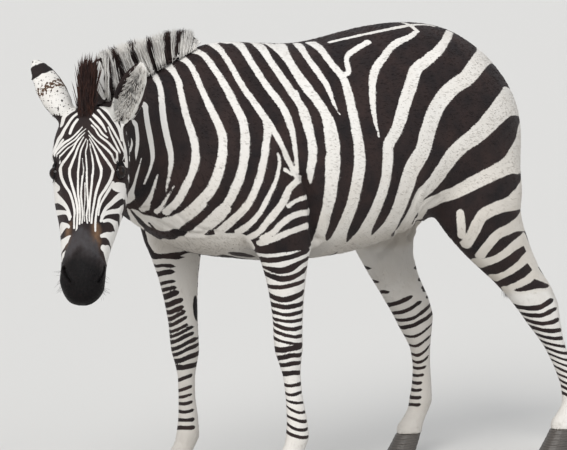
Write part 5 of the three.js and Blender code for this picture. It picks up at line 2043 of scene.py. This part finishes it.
def build_ear_hair(count):
    """Fine hair inside the ears, leaning from their sides to the middle."""
    inside = (zones["ear"][skin_t].mean(axis=1) > .35) & (np.abs(ear_coords(centres)[1]) < .68)
    root, normal = rooted(inside, count)
    share, across, depth_in, opens = ear_coords(root)
    axis = np.zeros_like(root)
    side = np.zeros_like(root)
    for base, way, _, side_way, length in EAR_FRAMES.values():
        close = np.linalg.norm(root - base - way * length / 2, axis=1) < length * .8
        axis[close], side[close] = way, side_way
    out = unit(axis * .8 + opens * .22 - side * (across * .75)[:, None] + rng.normal(0, .18, (count, 3)))
    length = rng.uniform(.012, .026, count) * (1 - .45 * np.abs(share - .4)) * (1 - .5 * np.abs(across))
    bend = opens * (length * .15)[:, None] + rng.normal(0, .002, (count, 3))
    width = rng.uniform(.0012, .0024, count)
    start = root - normal * ROOT_DEPTH
    made = blades(start, out, np.cross(out, opens), length, width, .6, bend, (0, .35, .7), .7, .2)
    dark = rng.random(count) < np.where((np.abs(across) < .35) & (share < .75), .34, .10)
    # the hairs inside the ears get random painted shade and random tone
    values = plain_marks(count, np.where(dark, DARK_MARK, WHITE_MARK), tone=rng.uniform(.0, .5, count),
                         shade=rng.uniform(0, .55, count))
    uv = np.column_stack([.5 + across * .48, share])
    hair_piece("ear_hair", LOCKS, made, uv, values)


build_ear_hair(1100)


LASH_WIDTH, WHISKER_WIDTH = .0011, .0007
WHISKERS_ALONG, WHISKERS_TURN = (.455, .525), 2.6  # down the face, and radians round the muzzle


def build_lashes(count):
    """Lashes along the upper lids."""
    roots, ways, lengths, sides = [], [], [], []
    for centre, radius, outward, lengthways, upward in EYES.values():
        turn = np.linspace(math.radians(12), math.radians(168), count)
        reach_u, reach_w = EYE_HALF_LENGTH * 1.04 / radius, EYE_HALF_HEIGHT * 1.06 / radius
        u, w = np.cos(turn) * reach_u, np.sin(turn) * reach_w
        z = np.sqrt(np.clip(1 - u * u - w * w, .02, 1))
        spot = u[:, None] * lengthways + w[:, None] * upward + z[:, None] * outward
        roots.append(centre + spot * (radius + LID_RISE * .75))
        way = spot * .8 + upward * .28 + (np.cos(turn) * .35)[:, None] * lengthways
        way = unit(way + rng.normal(0, .09, spot.shape))
        ways.append(way)
        lengths.append(rng.uniform(.010, .017, count))
        sides.append(np.cross(way, upward))
    root, way, length, side = (np.concatenate(x) for x in (roots, ways, lengths, sides))
    width, bend = np.full(len(root), LASH_WIDTH), -way * .002 + rng.normal(0, .001, way.shape)
    made = blades(root, way, side, length, width, 1.0, bend, FINE_LEVELS, .6, .3)
    uv = np.column_stack([np.arange(len(root)) / len(root), np.full(len(root), .5)])
    hair_piece("lashes", LOCKS, made, uv, plain_marks(len(root), DARK_MARK, soot=1.0))


build_lashes(44)


def build_whiskers(count):
    """Sparse stiff hairs round the muzzle."""
    along = rng.uniform(*WHISKERS_ALONG, count)
    turn = rng.uniform(-WHISKERS_TURN, WHISKERS_TURN, count)
    start = [head_point(a, .10 * math.sin(t), -.06 + .10 * math.cos(t)) for a, t in zip(along, turn)]
    hits = [probe_tree.find_nearest(Vector(s)) for s in start]
    root = np.array([h[0] for h in hits])
    normal = np.array([h[1] for h in hits])
    way = unit(normal + HEAD_ALONG * .35 + rng.normal(0, .25, normal.shape))
    length, width = rng.uniform(.010, .026, count), np.full(count, WHISKER_WIDTH)
    bend = HEAD_ALONG * .003 + rng.normal(0, .002, way.shape)
    start = root - normal * .001
    made = blades(start, way, np.cross(way, HEAD_ALONG), length, width, 1.0, bend, FINE_LEVELS, .6, .3)
    share = (along - WHISKERS_ALONG[0]) / np.ptp(WHISKERS_ALONG)
    uv = np.column_stack([turn / (2 * WHISKERS_TURN) + .5, share])
    hair_piece("whiskers", LOCKS, made, uv, plain_marks(count, DARK_MARK, soot=.6, tone=.4))


build_whiskers(70)


# ---------------- floor, light and camera
FLOOR_REACH = 400.0
floor = link("floor", mesh_from("floor", [(x * FLOOR_REACH, y * FLOOR_REACH, 0) for x, y in
                                          ((-1, -1), (1, -1), (1, 1), (-1, 1))], [(0, 1, 2, 3)], soft=False))
pale = Nodes("floor")
pale.surface(Base_Color=(.60, .59, .57, 1), Roughness=.9)
floor.data.materials.append(pale.material)


def lamp(name, kind, energy, at, towards, size, colour):
    data = bpy.data.lights.new(name, kind)
    data.energy = energy
    data.color = colour
    data.angle = size
    obj = bpy.data.objects.new(name, data)
    bpy.context.scene.collection.objects.link(obj)
    obj.location = at
    obj.rotation_euler = (Vector(towards) - Vector(at)).to_track_quat("-Z", "Y").to_euler()


lamp("key", "SUN", 2.5, (3.2, -4.2, 4.6), (0, 0, .8), math.radians(38), (1, .985, .96))
lamp("fill", "SUN", .55, (5.5, 2.5, 2.4), (0, 0, .7), math.radians(60), (.94, .97, 1))
world = bpy.data.worlds.new("world")
world.use_nodes = True
world.node_tree.nodes["Background"].inputs["Color"].default_value = (.80, .82, .85, 1)
world.node_tree.nodes["Background"].inputs["Strength"].default_value = .88
bpy.context.scene.world = world

camera = bpy.data.objects.new("camera", bpy.data.cameras.new("camera"))
bpy.context.scene.collection.objects.link(camera)
camera.data.sensor_width = SENSOR
camera.data.lens = FOCAL_PX * SENSOR / PHOTO_SIZE[0]
camera.data.clip_end = 1000
camera.location = CAMERA_AT
camera.rotation_euler = Matrix([CAM_RIGHT, CAM_UP, -CAM_AHEAD]).transposed().to_euler()
bpy.context.scene.camera = camera
bpy.context.scene.view_settings.view_transform = "Standard"
